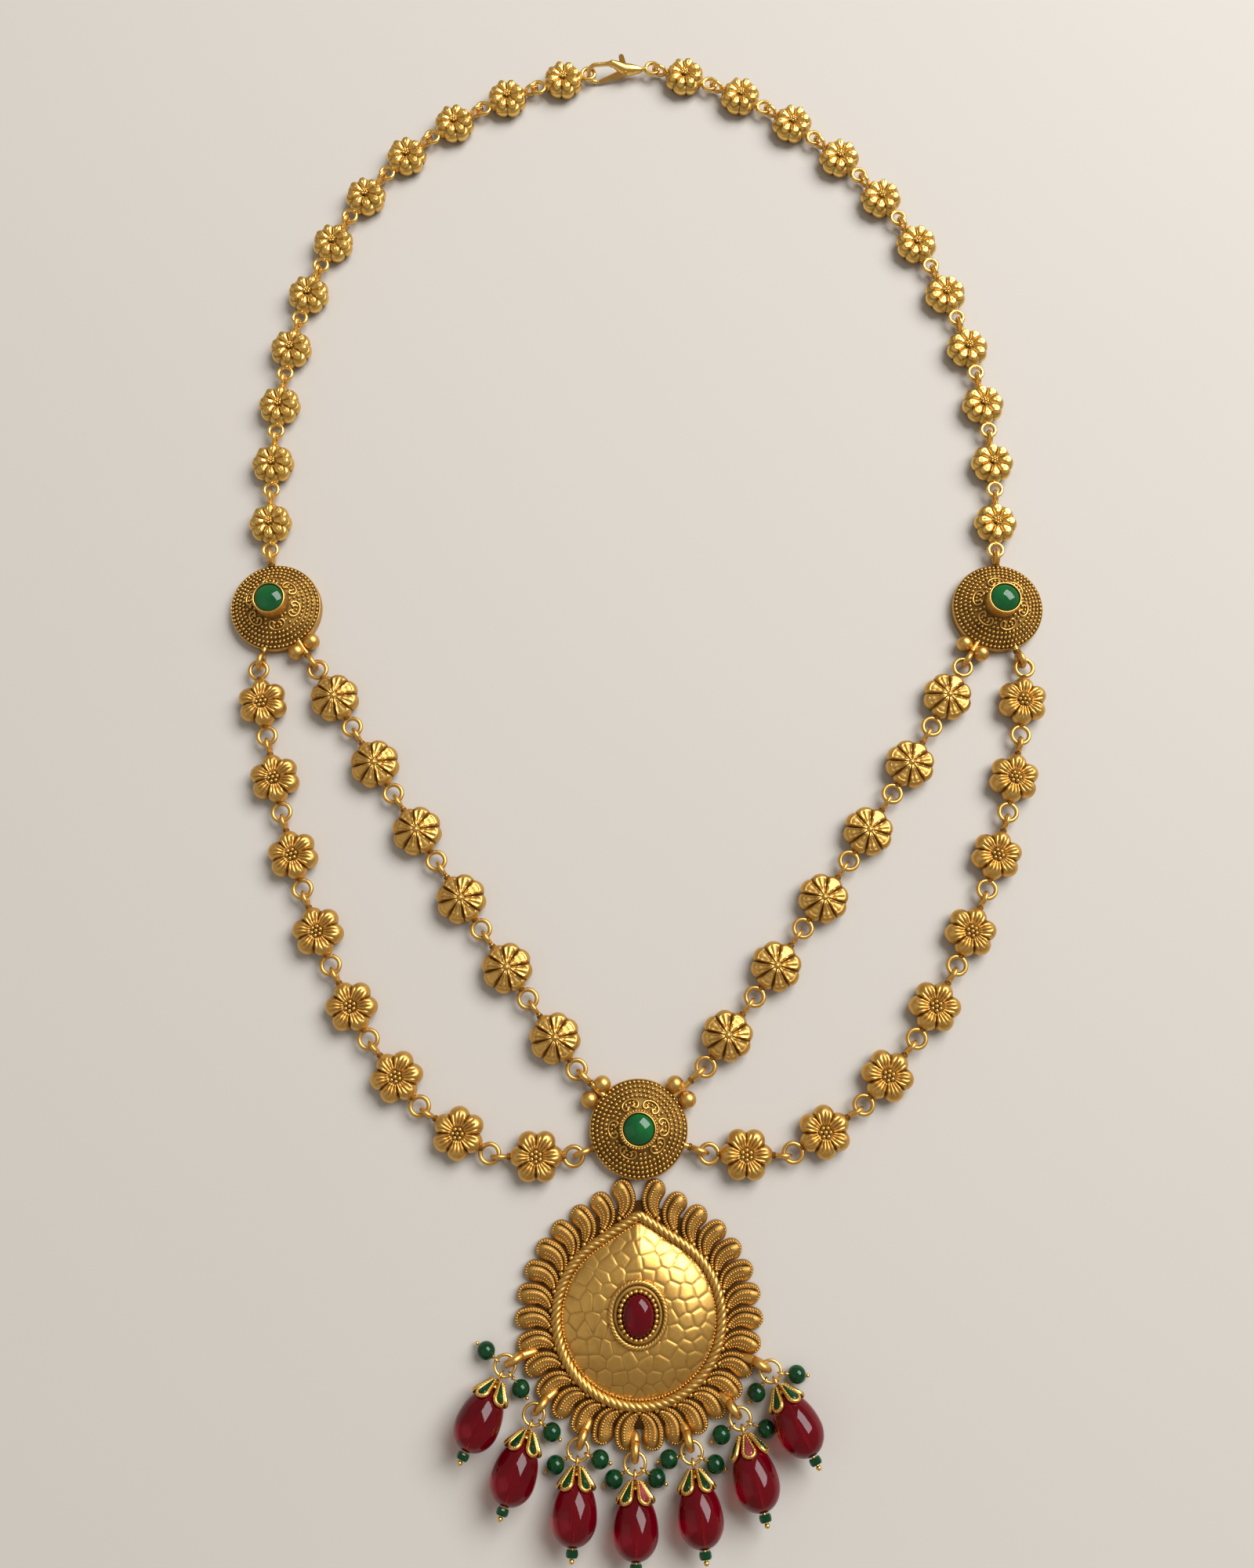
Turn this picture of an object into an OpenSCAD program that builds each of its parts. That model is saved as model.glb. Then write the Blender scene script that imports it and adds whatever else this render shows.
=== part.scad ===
/* [Chain links] */
// Thickness of the wire of every link ring, across
ring_wire = 0.9; // [0.8:0.05:1]
// Radius of a lying ring in the upper chain, to the middle of its wire
upper_ring_r = 1.5; // [1.45:0.05:1.55]
// Radius of a lying ring in the lower strands, to the middle of its wire
lower_ring_r = 1.8; // [1.7:0.05:1.9]
// Radius of the upright eye of a link, to the middle of its wire
eye_r = 1.35; // [1.3:0.05:1.4]
// Free play where a ring holds an eye
link_play = 0.16; // [0.12:0.02:0.3]
// Height of the rings above the table
ring_height = 2.1; // [2.1:0.1:2.4]

/* [Flowers] */
// Distance across an upper flower
upper_flower_d = 9.2; // [9:0.1:9.4]
// Number of petals of an upper flower
upper_petals = 8; // [7:1:9]
// Distance across an inner flower
inner_flower_d = 10.2; // [9.6:0.1:10.6]
// Number of petals of an inner flower
inner_petals = 8; // [7:1:9]
// Distance across an outer flower
outer_flower_d = 10.4; // [9.8:0.1:10.8]
// Number of petals of an outer flower
outer_petals = 6; // [5:1:7]

/* [Medallions] */
// Diameter of the three round medallions
medallion_d = 19; // [18.4:0.2:19.4]
// Height of the smooth rim of a medallion
medallion_rim_h = 2.2; // [1.8:0.1:2.4]
// Height of the cone of a medallion at its cup
medallion_cone_h = 5.2; // [4.6:0.1:5.6]
// Number of ridges that carry the rows of grains
ridge_count = 4; // [3:1:4]
// Diameter of the solder balls beside the strand bars
solder_ball_d = 3.5; // [3:0.1:3.7]
// Diameter of the stone of a side medallion
side_stone_d = 5.8; // [5:0.1:6]
// Diameter of the stone of the centre medallion
centre_stone_d = 5.8; // [5:0.1:6]

/* [Pendant] */
// Radius of the round part of the teardrop, to the outside of the rope
teardrop_r = 16.4; // [15.8:0.2:17]
// Height of the teardrop's tip above the middle of its round part
teardrop_tip = 19.4; // [19:0.2:20.4]
// Thickness of the rope border
rope_d = 1.7; // [1.4:0.1:1.9]
// Number of paisleys on each side
paisleys_a_side = 15; // [13:1:16]
// Length of a paisley
paisley_length = 6.7; // [6.2:0.1:7]
// Height of the domed field round the bezel
dome_height = 4.05; // [3.75:0.05:4.1]
// Width of the red stone
ruby_w = 5.8; // [5:0.1:6.2]
// Length of the red stone
ruby_l = 7.6; // [7.2:0.1:7.8]

/* [Drops] */
// Diameter of a red drop bead
drop_bead_d = 8.3; // [7.8:0.1:8.5]
// Length of a red drop bead
drop_bead_l = 11.6; // [11:0.1:12]
// Width of a leaf of a drop cap
leaf_w = 2.7; // [2.4:0.1:2.7]
// Diameter of a round green bead
charm_bead_d = 3.4; // [3:0.1:3.6]
// Diameter of the small green bead under a drop
rondelle_d = 2.2; // [1.8:0.1:2.4]

/* [Clasp] */
// Radius of the claw's nose, to the middle of its wire
claw_nose_r = 1.8; // [1.75:0.05:1.9]
// Thickness of the claw's lever
lever_thickness = 0.8; // [0.6:0.05:0.85]
// Lean of the claw from lying flat, in degrees
claw_lean = 52; // [50:1:56]

/* [Hidden] */
$fn = 48;

// Where each strand runs on the table: start, two handles and end of its curve, and its number of links.
STRANDS = [
  // name, start, first handle, second handle, end, links
  ["upper_left", [-10.5, 157.2], [-54, 146], [-84.5, 117], [-78.5, 36.5], 11],
  ["upper_right", [4.5, 158.2], [44.5, 149], [83.5, 107.5], [76.5, 36.5], 11],
  ["inner_left", [-67.5, 11.5], [-50, -17], [-31, -45], [-11.5, -72], 6],
  ["inner_right", [68.5, 12], [53, -18], [32, -44.5], [12.5, -71.5], 6],
  ["outer_left", [-79.5, 11.5], [-71, -45], [-44, -98], [-11.5, -87.5], 8],
  ["outer_right", [81, 12], [77.5, -42.5], [42, -99.5], [12.5, -87], 8],
];

// Middle of each medallion and of the pendant's round part.
side_left_at = [-76.6, 24.4];
side_right_at = [76.2, 24.4];
centre_at = [0, -82.4];
pendant_at = [0, -116.6];

// The seven drops: middle of the jump ring, heading of the soldered bar and heading of the drop.
DROPS = [
  // ring x, ring y, bar heading, drop heading
  [-24.9, -124.9, -150, -115.5],
  [-19.4, -133.3, -130, -108.5],
  [-11.2, -139.3, -110, -93],
  [-0.8, -141.6, -91, -89.5],
  [9.6, -139.7, -75, -82.5],
  [18.6, -134, -54, -76],
  [24.4, -125.9, -33, -63],
];

// The green beads that hang on the jump rings: drop, heading and distance from the ring's middle.
CHARMS = [
  // drop number, heading, reach
  [0, 146, 4.4],
  [0, -55, 5.1],
  [1, -44, 4.6],
  [2, -147, 5],
  [2, -24, 4.4],
  [3, -144, 4.8],
  [3, -34, 4.8],
  [4, -162, 4.4],
  [4, -27, 4.9],
  [5, -140, 4.6],
  [5, -22, 5.2],
  [6, -125, 4.7],
  [6, -8, 5],
];

// The one cap with a leaf in the middle; the others have a pair there and none underneath, where they rest.
middle_leaf_drop = 5;

gap = 0.1;
wire_r = ring_wire / 2;
curve_steps = 120;

// Links
neck_r = 0.5;
flower_h = 4.2;
petal_tuck = 0.3;
knob_r = 0.9;
middle_grain_r = 0.55;
grain_r = 0.36;
grains_at_r = 0.98;
core_share = 0.62;
core_sides = 12;

// Medallions
medallion_r = medallion_d / 2;
cup_wall = 0.4;
side_cup_h = 8.2;
centre_cup_h = 6.8;
stone_seat = 1.6;
bar_r = 0.6;
bar_eye_r = 1.4;
ball_out = 1.5;
loop_count = 6;
loop_wire_r = 0.28;
loop_r = 1.25;
loops_at_r = 5.05;
ridge_r = 0.38;
ridges_from_r = 7;
ridge_pitch = 0.7;
bar_sink = 0.5;
ball_z = 2;
cabochon_rise = 0.8;
cabochon_r = 4.5;
lug_r = 1.2;
lug_h = 0.9;
lug_out = 0.9;
lug_angles = [-74, -106];

// Pendant
tip_turn = 90 - acos(teardrop_r / teardrop_tip);
plate_h = 1.36;
plate_out = 3.29;
plate_tip_r = 2.6;
rope_r = rope_d / 2;
rope_z = 1.72;
rope_sides = 6;
rope_steps = 60;
field_r = teardrop_r - rope_d + 0.5;
field_edge_h = 1.4;
dome_rings = 5;
dome_flat_share = 0.4;
dome_steps = 40;
paisley_pitch = 4.05;
paisleys_at_r = 19.7;
paisley_head_r = 1.85;
paisley_base = 0.3;
paisley_top = 2.5;
top_paisley_lean = 15.5;
bezel_at = [-0.15, 0.8];
bezel_ring = [5.15, 5.75];
bezel_ring_r = 0.55;
bezel_ring_z = 4.75;
bezel_floor_h = 4.55;
bead_ring = [3.95, 4.85];
bead_ring_h = 5.3;
oval_steps = 32;
oval_sides = 6;
ruby_seat = 4.7;
ruby_cup_h = 6.2;
ruby_side_h = 1.1;
ruby_dome_h = 1.7;
ruby_step = 15;

// Drops
jump_r = 1.9;
jump_wire_r = 0.3;
jump_tilt = 8;
jump_z = 2.56;
drop_bar_r = 0.8;
drop_eye_r = 1.35;
drop_eye_z = 2.3;
drop_foot_out = 3.22;
drop_foot_share = 1.15;
pin_r = 0.3;
pin_loop_r = 0.76;
pin_loop_at = 1.77;
pin_hole_r = pin_r + gap;
drop_lean = 9;
bead_fat_at = 11.1;
bead_below = 4.6;
bead_r = drop_bead_d / 2;
bead_above = drop_bead_l - bead_below;
profile_steps = 14;
rondelle_h = 1.3;
tip_r = 0.5;
leaf_l = 4.15;
leaf_step = 72;
leaf_wide_steps = 14;
leaf_neck_steps = 5;
leaf_neck_r = 0.55;
leaf_t = 0.5;
leaf_slope = 36;
leaf_from = [0.95, 3.2];
leaf_recess = 0.3;
stone_rim = 0.45;
stone_h = 0.75;
stone_wide_steps = 5;
cap_top = 3;
cap_collar_r = 0.95;
cap_skirt_r = 1.45;
rondelle_at = 15.85;
tip_at = 17.75;
charm_r = charm_bead_d / 2;
charm_z = charm_r + 0.05;
charm_wire_r = 0.18;
charm_loop_r = 0.6;
charm_tip_r = 0.4;
charm_slack = 0.12;

// Clasp
claw_wire_r = 0.48;
claw_end_r = 0.52;
limb_share = 0.96;
nose_at = -5.5;
nose_sweep = 172;
nose_hold = 1.9;
pivot_at = [1.2, -0.3];
pivot_r = 0.4;
arm_end = [-1.6, 1.75];
arm_end_r = 0.9;
belly_at = [1.2, 0.2];
belly_r = 1.5;
tail_at = [4.6, 0];
tail_r = 0.8;
slot_from = -1.5;
slot_to = 3.2;
slot_w = lever_thickness + 2 * gap;
gate_tip = [-4.7, -1.75];
gate_tip_r = 0.38;
gate_root_r = 0.85;
thumb_at = [0.6, 3];
thumb_r = 0.6;
lever_steps = 22;

antique_gold = [0.78, 0.58, 0.22];
bright_gold = [0.86, 0.66, 0.26];
emerald = [0.05, 0.4, 0.22];
ruby = [0.62, 0.02, 0.16];

// Curves and headings

function heading(v) = atan2(v[1], v[0]);
function toward(angle, r = 1) = r * [cos(angle), sin(angle)];
function curve_point(c, t) =
  pow(1 - t, 3) * c[0] + 3 * pow(1 - t, 2) * t * c[1] + 3 * (1 - t) * t * t * c[2] + pow(t, 3) * c[3];
function run_lengths(c) = [
  for (i = 0, s = 0; i <= curve_steps;
       s = s + norm(curve_point(c, (i + 1) / curve_steps) - curve_point(c, i / curve_steps)), i = i + 1)
    [s, i / curve_steps]
];
function strand_joints(strand) =
  let (c = [strand[1], strand[2], strand[3], strand[4]], n = strand[5], runs = run_lengths(c))
  let (whole = runs[curve_steps][0])
  [for (k = [0:n]) curve_point(c, lookup(k * whole / n, runs))];
function strand(name) = STRANDS[search([name], STRANDS)[0]];
function play_gap(ring_r) = ring_r + eye_r - 2 * wire_r - link_play;

// Links: a flower with a lying ring at its far end and an eye or a ring at its near end

module lying_ring(r, wire = wire_r) {
  rotate_extrude() translate([r, 0]) circle(wire);
}

module upright_eye(r, wire = wire_r) {
  rotate([90, 0, 180]) lying_ring(r, wire);
}

module neck(from, to) {
  translate([from, 0, 0]) rotate([0, 90, 0]) cylinder(h = to - from, r = neck_r);
}

module flower(d, petals, height) {
  petal_r = height / 2;
  petals_at = d / 2 - petal_r;
  for (k = [0:petals - 1])
    rotate(k * 360 / petals) translate([petals_at, 0, petal_r]) rotate([0, 90, 0]) sphere(petal_r);
  translate([0, 0, petal_tuck])
    cylinder(h = height - 2 * petal_tuck, r = d / 2 * core_share, $fn = core_sides);
}

module upper_flower() {
  flower(upper_flower_d, upper_petals, flower_h);
  translate([0, 0, flower_h - middle_grain_r]) sphere(middle_grain_r);
}

module inner_flower() {
  flower(inner_flower_d, inner_petals, flower_h);
  translate([0, 0, flower_h - petal_tuck - gap]) cylinder(h = knob_r, r1 = knob_r * 2, r2 = knob_r / 2);
}

module outer_flower() {
  flower(outer_flower_d, outer_petals, flower_h);
  translate([0, 0, flower_h - middle_grain_r]) sphere(middle_grain_r);
  for (k = [0:outer_petals - 1])
    rotate((k + 0.5) * 360 / outer_petals)
      translate([grains_at_r, 0, flower_h - petal_tuck]) sphere(grain_r);
}

module link(from, to, ring_r, near_ring) {
  length = norm(to - from);
  play = play_gap(ring_r) / 2;
  near_r = near_ring ? ring_r : eye_r;
  translate([(from[0] + to[0]) / 2, (from[1] + to[1]) / 2, 0]) rotate(heading(to - from)) {
    children();
    translate([0, 0, ring_height]) {
      neck(0, length / 2 - play - ring_r);
      translate([length / 2 - play, 0, 0]) lying_ring(ring_r);
      neck(-(length / 2 - play - near_r), 0);
      translate([-(length / 2 - play), 0, 0]) {
        if (near_ring) rotate(180) lying_ring(ring_r);
        else upright_eye(eye_r);
      }
    }
  }
}

module chain(name, ring_r, first_has_ring) {
  joints = strand_joints(strand(name));
  for (k = [0:len(joints) - 2])
    link(joints[k], joints[k + 1], ring_r, first_has_ring && k == 0) children();
}

module upper_chain_left() {
  color(bright_gold) chain("upper_left", upper_ring_r, true) upper_flower();
}

module upper_chain_right() {
  color(bright_gold) chain("upper_right", upper_ring_r, false) upper_flower();
}

module inner_strand_left() {
  color(antique_gold) chain("inner_left", lower_ring_r, true) inner_flower();
}

module inner_strand_right() {
  color(antique_gold) chain("inner_right", lower_ring_r, true) inner_flower();
}

module outer_strand_left() {
  color(antique_gold) chain("outer_left", lower_ring_r, true) outer_flower();
}

module outer_strand_right() {
  color(antique_gold) chain("outer_right", lower_ring_r, true) outer_flower();
}

// Medallions: a rim, a cone with ridges and wire loops, a cup for the stone, and bars to the strands

function strand_end_ring(name, ring_r) =
  let (joints = strand_joints(strand(name)), n = len(joints) - 1)
  joints[n] - toward(heading(joints[n] - joints[n - 1]), play_gap(ring_r) / 2);
function strand_start_ring(name, ring_r, first_has_ring = true) =
  let (joints = strand_joints(strand(name)))
  joints[0] + (first_has_ring ? 1 : -1) * toward(heading(joints[1] - joints[0]), play_gap(ring_r) / 2);

module medallion(cup_h, stone_d) {
  cup_in = stone_d / 2 + gap;
  cup_r = cup_in + cup_wall;
  slope = (medallion_cone_h - medallion_rim_h) / (medallion_r - cup_r);
  rotate_extrude() polygon([
    [0, 0], [medallion_r, 0], [medallion_r, medallion_rim_h], [cup_r, medallion_cone_h], [cup_r, cup_h],
    [cup_in, cup_h], [cup_in, cup_h - stone_seat], [0, cup_h - stone_seat]
  ]);
  for (k = [0:ridge_count - 1]) {
    at = ridges_from_r + k * ridge_pitch;
    rotate_extrude() translate([at, medallion_rim_h + slope * (medallion_r - at)]) circle(ridge_r);
  }
  for (k = [0:loop_count - 1])
    rotate(k * 360 / loop_count)
      translate([loops_at_r, 0, medallion_rim_h + slope * (medallion_r - loops_at_r)])
        rotate([0, atan(slope), 0]) lying_ring(loop_r, loop_wire_r);
}

module strand_bar(ring_at, ring_r, medallion_at) {
  reach = norm(medallion_at - ring_at);
  eye_at = ring_r + bar_eye_r - wire_r - bar_r - link_play;
  rod_from = eye_at + bar_eye_r;
  rod_to = reach - medallion_r + bar_sink;
  translate([ring_at[0], ring_at[1], ring_height]) rotate(heading(medallion_at - ring_at)) {
    translate([eye_at, 0, 0]) upright_eye(bar_eye_r, bar_r);
    translate([rod_from, 0, 0]) rotate([0, 90, 0]) cylinder(h = rod_to - rod_from, r = bar_r);
  }
}

module solder_balls(at, angles) {
  for (a = angles) {
    spot = at + toward(a, medallion_r + ball_out);
    translate([spot[0], spot[1], ball_z]) rotate(a) rotate([0, 90, 0]) sphere(solder_ball_d / 2);
  }
}

module side_medallion(at, upper, inner, outer, ball_angles) {
  translate([at[0], at[1], 0]) medallion(side_cup_h, side_stone_d);
  strand_bar(strand_end_ring(upper, upper_ring_r), upper_ring_r, at);
  strand_bar(strand_start_ring(inner, lower_ring_r), lower_ring_r, at);
  strand_bar(strand_start_ring(outer, lower_ring_r), lower_ring_r, at);
  solder_balls(at, ball_angles);
}

module cabochon(cup_h, d) {
  translate([0, 0, cup_h - stone_seat + gap]) intersection() {
    cylinder(h = stone_seat + cabochon_rise, r = d / 2);
    translate([0, 0, stone_seat - gap + cabochon_rise - cabochon_r]) sphere(cabochon_r);
  }
}

module side_medallion_left() {
  color(antique_gold)
    side_medallion(side_left_at, "upper_left", "inner_left", "outer_left", [-63.4, -43.5]);
}

module side_medallion_right() {
  color(antique_gold)
    side_medallion(side_right_at, "upper_right", "inner_right", "outer_right", [-112, -133]);
}

module side_stone_left() {
  color(emerald) translate([side_left_at[0], side_left_at[1], 0]) cabochon(side_cup_h, side_stone_d);
}

module side_stone_right() {
  color(emerald) translate([side_right_at[0], side_right_at[1], 0]) cabochon(side_cup_h, side_stone_d);
}

module lugs(r, h) {
  for (a = lug_angles) {
    spot = centre_at + toward(a, medallion_r + lug_out);
    translate([spot[0], spot[1], 0]) cylinder(h = h, r = r);
  }
}

module centre_medallion() {
  color(antique_gold) {
    translate([centre_at[0], centre_at[1], 0]) medallion(centre_cup_h, centre_stone_d);
    for (name = ["inner_left", "inner_right", "outer_left", "outer_right"])
      strand_bar(strand_end_ring(name, lower_ring_r), lower_ring_r, centre_at);
    solder_balls(centre_at, [130, 150, 50, 30]);
    lugs(lug_r, lug_h);
  }
}

module centre_stone() {
  color(emerald) translate([centre_at[0], centre_at[1], 0]) cabochon(centre_cup_h, centre_stone_d);
}

// Pendant: outlines are measured on a teardrop whose round part has a radius of one

round_run = (90 + tip_turn) * PI / 180;
half_run = round_run + tan(90 - tip_turn);
function edge_turn(run) = -90 + min(run, round_run) * 180 / PI;
function edge_point(run) = toward(edge_turn(run)) + toward(tip_turn + 90, max(0, run - round_run));
function mirrored(p) = [-p[0], p[1]];
function outline_point(run) = run <= half_run ? edge_point(run) : mirrored(edge_point(2 * half_run - run));
function outline_normal(run) =
  abs(run - half_run) < 0.001 ? [0, 1 / sin(tip_turn)]
  : run < half_run ? toward(edge_turn(run)) : mirrored(toward(edge_turn(2 * half_run - run)));
function loop_faces(rings, sides) = [
  for (i = [0:rings - 1], j = [0:sides - 1])
    let (next = (i + 1) % rings, side = (j + 1) % sides)
    each [
      [i * sides + j, i * sides + side, next * sides + side],
      [i * sides + j, next * sides + side, next * sides + j]
    ]
];

module tube_loop(path, outward, r, sides, z) {
  polyhedron(
    points = [
      for (i = [0:len(path) - 1], j = [0:sides - 1])
        let (spot = path[i] + r * cos(j * 360 / sides) * outward[i])
        [spot[0], spot[1], z + r * sin(j * 360 / sides)]
    ],
    faces = loop_faces(len(path), sides)
  );
}

module rope() {
  runs = [for (i = [0:rope_steps - 1]) i * 2 * half_run / rope_steps];
  tube_loop([for (t = runs) (teardrop_r - rope_r) * outline_point(t)], [for (t = runs) outline_normal(t)],
            rope_r, rope_sides, rope_z);
}

module domed_field() {
  rings = concat([[1, 0.5]], [
    for (k = [0:dome_rings])
      let (rise = k / dome_rings)
      [1 - rise * (1 - dome_flat_share), field_edge_h + (dome_height - field_edge_h) * rise * (2 - rise)]
  ]);
  runs = [for (i = [0:dome_steps - 1]) i * 2 * half_run / dome_steps];
  top = len(rings) * dome_steps;
  polyhedron(
    points = concat([
      for (ring = rings, t = runs)
        let (spot = (1 - ring[0]) * bezel_at + ring[0] * field_r * outline_point(t))
        [spot[0], spot[1], ring[1]]
    ], [[bezel_at[0], bezel_at[1], dome_height]]),
    faces = concat([
      for (i = [0:len(rings) - 2], j = [0:dome_steps - 1])
        let (a = i * dome_steps + j, b = i * dome_steps + (j + 1) % dome_steps)
        each [[a, a + dome_steps, b + dome_steps], [a, b + dome_steps, b]]
    ], [
      for (j = [0:dome_steps - 1])
        [top - dome_steps + j, top, top - dome_steps + (j + 1) % dome_steps]
    ], [[for (j = [0:dome_steps - 1]) j]])
  );
}

function bend(from, over, to, t) = (1 - t) * (1 - t) * from + 2 * t * (1 - t) * over + t * t * to;
function paisley_spine(t) =
  bend([0.3, -1.5], [1.9, 1.3], [paisley_length - paisley_head_r + 0.15, 0.3], t);
function paisley_row(at, turn, w) =
  let (top = paisley_base + (paisley_top - paisley_base) * (0.45 + 0.55 * w / paisley_head_r))
  [
    for (q = [[1, 0.5], [0.76, 0.84], [0.32, 1], [-0.32, 1], [-0.76, 0.84], [-1, 0.5]])
      let (spot = at + toward(turn - 90, q[0] * w))
      [spot[0], spot[1], paisley_base + q[1] * (top - paisley_base)],
    for (q = [-0.95, 0.95])
      let (spot = at + toward(turn - 90, q * w))
      [spot[0], spot[1], paisley_base]
  ];

module paisley() {
  widths = [[0, 0.5], [0.35, 1.15], [0.7, 1.75], [1, paisley_head_r]];
  turn_at_head = heading(paisley_spine(1) - paisley_spine(0.95));
  rows = concat([
    for (w = widths)
      let (ahead = paisley_spine(w[0] + 0.03), behind = paisley_spine(w[0] - 0.03))
      paisley_row(paisley_spine(w[0]), heading(ahead - behind), w[1])
  ], [
    for (a = [35, 62, 82])
      paisley_row(paisley_spine(1) + toward(turn_at_head, paisley_head_r * sin(a)), turn_at_head,
                  paisley_head_r * cos(a))
  ]);
  sides = len(rows[0]);
  last = (len(rows) - 1) * sides;
  polyhedron(
    points = [for (row = rows) each row],
    faces = concat(
      [for (f = loop_faces(len(rows), sides)) if (max(f) - min(f) < 2 * sides) f],
      [[for (j = [sides - 1:-1:0]) j], [for (j = [0:sides - 1]) last + j]]
    )
  );
}

module paisley_border() {
  for (side = [0, 1]) mirror([side, 0, 0])
    for (k = [0:paisleys_a_side - 1]) {
      run = (k + 0.5) * paisley_pitch / paisleys_at_r * 15 / paisleys_a_side;
      straight = max(0, run - round_run) * paisleys_at_r;
      root = teardrop_r * toward(edge_turn(run)) + toward(tip_turn + 90, straight);
      lean = top_paisley_lean * pow(max(0, (k + 4) / paisleys_a_side - 1) * paisleys_a_side / 3, 2);
      translate([root[0], root[1], 0]) rotate(edge_turn(run) + lean) paisley();
    }
}

module bezel() {
  turns = [for (i = [0:oval_steps - 1]) i * 360 / oval_steps];
  translate([bezel_at[0], bezel_at[1], 0]) {
    tube_loop(
      [for (a = turns) [bezel_ring[0] * cos(a), bezel_ring[1] * sin(a)]],
      [for (a = turns) let (n = [cos(a) / bezel_ring[0], sin(a) / bezel_ring[1]]) n / norm(n)],
      bezel_ring_r, oval_sides, bezel_ring_z
    );
    translate([0, 0, field_edge_h]) oval_block(bezel_ring[0], bezel_ring[1], bezel_floor_h - field_edge_h);
    translate([0, 0, field_edge_h]) oval_block(bead_ring[0], bead_ring[1], bead_ring_h - field_edge_h);
    oval_block(ruby_w / 2 + gap + cup_wall, ruby_l / 2 + gap + cup_wall, ruby_cup_h);
  }
}

module oval_block(half_w, half_l, h) {
  linear_extrude(h) scale([1, half_l / half_w]) circle(half_w, $fn = oval_steps);
}

module drop_eye(drop) {
  reach = jump_r + drop_eye_r - jump_wire_r - drop_bar_r - link_play;
  ring_at = [drop[0], drop[1]];
  eye_at = ring_at - toward(drop[2], reach);
  foot_at = pendant_at + toward(heading(eye_at - pendant_at), teardrop_r + drop_foot_out);
  translate([eye_at[0], eye_at[1], drop_eye_z]) rotate(drop[2])
    rotate([90, 0, 0]) rotate_extrude($fn = 12) translate([drop_eye_r, 0]) circle(drop_bar_r, $fn = 6);
  hull() {
    translate([eye_at[0], eye_at[1], drop_eye_z]) rotate(drop[2])
      translate([-drop_eye_r, 0, 0]) sphere(drop_bar_r, $fn = 8);
    translate([foot_at[0], foot_at[1], plate_h / 2])
      cylinder(h = drop_eye_z, r = drop_bar_r * drop_foot_share, $fn = 8);
  }
}

module pendant() {
  color(antique_gold) difference() {
    union() {
      translate([pendant_at[0], pendant_at[1], 0]) {
        hull() {
          cylinder(h = plate_h, r = teardrop_r + plate_out);
          translate([0, teardrop_tip - 1, 0]) cylinder(h = plate_h, r = plate_tip_r);
        }
        rope();
        domed_field();
        paisley_border();
        bezel();
      }
      for (drop = DROPS) drop_eye(drop);
    }
    translate([pendant_at[0] + bezel_at[0], pendant_at[1] + bezel_at[1], ruby_seat])
      oval_block(ruby_w / 2 + gap, ruby_l / 2 + gap, ruby_cup_h);
    translate([0, 0, -gap]) lugs(lug_r + 1.5 * gap, lug_h + 2.5 * gap);
  }
}

module pendant_stone() {
  levels = concat([[1, 0]], [
    for (a = [0:ruby_step:90 - ruby_step]) [cos(a), ruby_side_h + ruby_dome_h * sin(a)]
  ]);
  top = len(levels) * oval_steps;
  color(ruby) translate([pendant_at[0] + bezel_at[0], pendant_at[1] + bezel_at[1], ruby_seat + gap])
    polyhedron(
      points = concat([
        for (level = levels, i = [0:oval_steps - 1])
          let (a = i * 360 / oval_steps)
          [level[0] * ruby_w / 2 * cos(a), level[0] * ruby_l / 2 * sin(a), level[1]]
      ], [[0, 0, ruby_side_h + ruby_dome_h]]),
      faces = concat([
        for (i = [0:len(levels) - 2], j = [0:oval_steps - 1])
          let (a = i * oval_steps + j, b = i * oval_steps + (j + 1) % oval_steps)
          each [[a, a + oval_steps, b + oval_steps], [a, b + oval_steps, b]]
      ], [
        for (j = [0:oval_steps - 1])
          [top - oval_steps + j, top, top - oval_steps + (j + 1) % oval_steps]
      ], [[for (j = [0:oval_steps - 1]) j]])
    );
}

// Drops: the long way of a drop is its own Z

module drop_frame(i) {
  translate([DROPS[i][0], DROPS[i][1], bead_r + gap]) rotate(DROPS[i][3])
    translate([bead_fat_at, 0, 0]) rotate([0, 90 - drop_lean, 0]) translate([0, 0, -bead_fat_at]) children();
}

function pear(wide_r, neck_r, apart, wide_steps, neck_steps) =
  let (a = 90 + asin((wide_r - neck_r) / apart))
  concat(
    [for (i = [0:wide_steps]) [apart, 0] + toward(-a + 2 * a * i / wide_steps, wide_r)],
    [for (i = [0:neck_steps]) toward(a + (360 - 2 * a) * i / neck_steps, neck_r)]
  );

module leaf_frames(i) {
  outermost = i == middle_leaf_drop ? 2 : 1.5;
  for (k = [-outermost:outermost])
    rotate(180 + k * leaf_step) translate([leaf_from[0], 0, leaf_from[1]])
      rotate([180, leaf_slope - 90, 0]) children();
}

module drop_ring(i) {
  color(bright_gold) translate([DROPS[i][0], DROPS[i][1], jump_z]) rotate(DROPS[i][3])
    rotate([0, -jump_tilt, 0]) lying_ring(jump_r, jump_wire_r);
}

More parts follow.
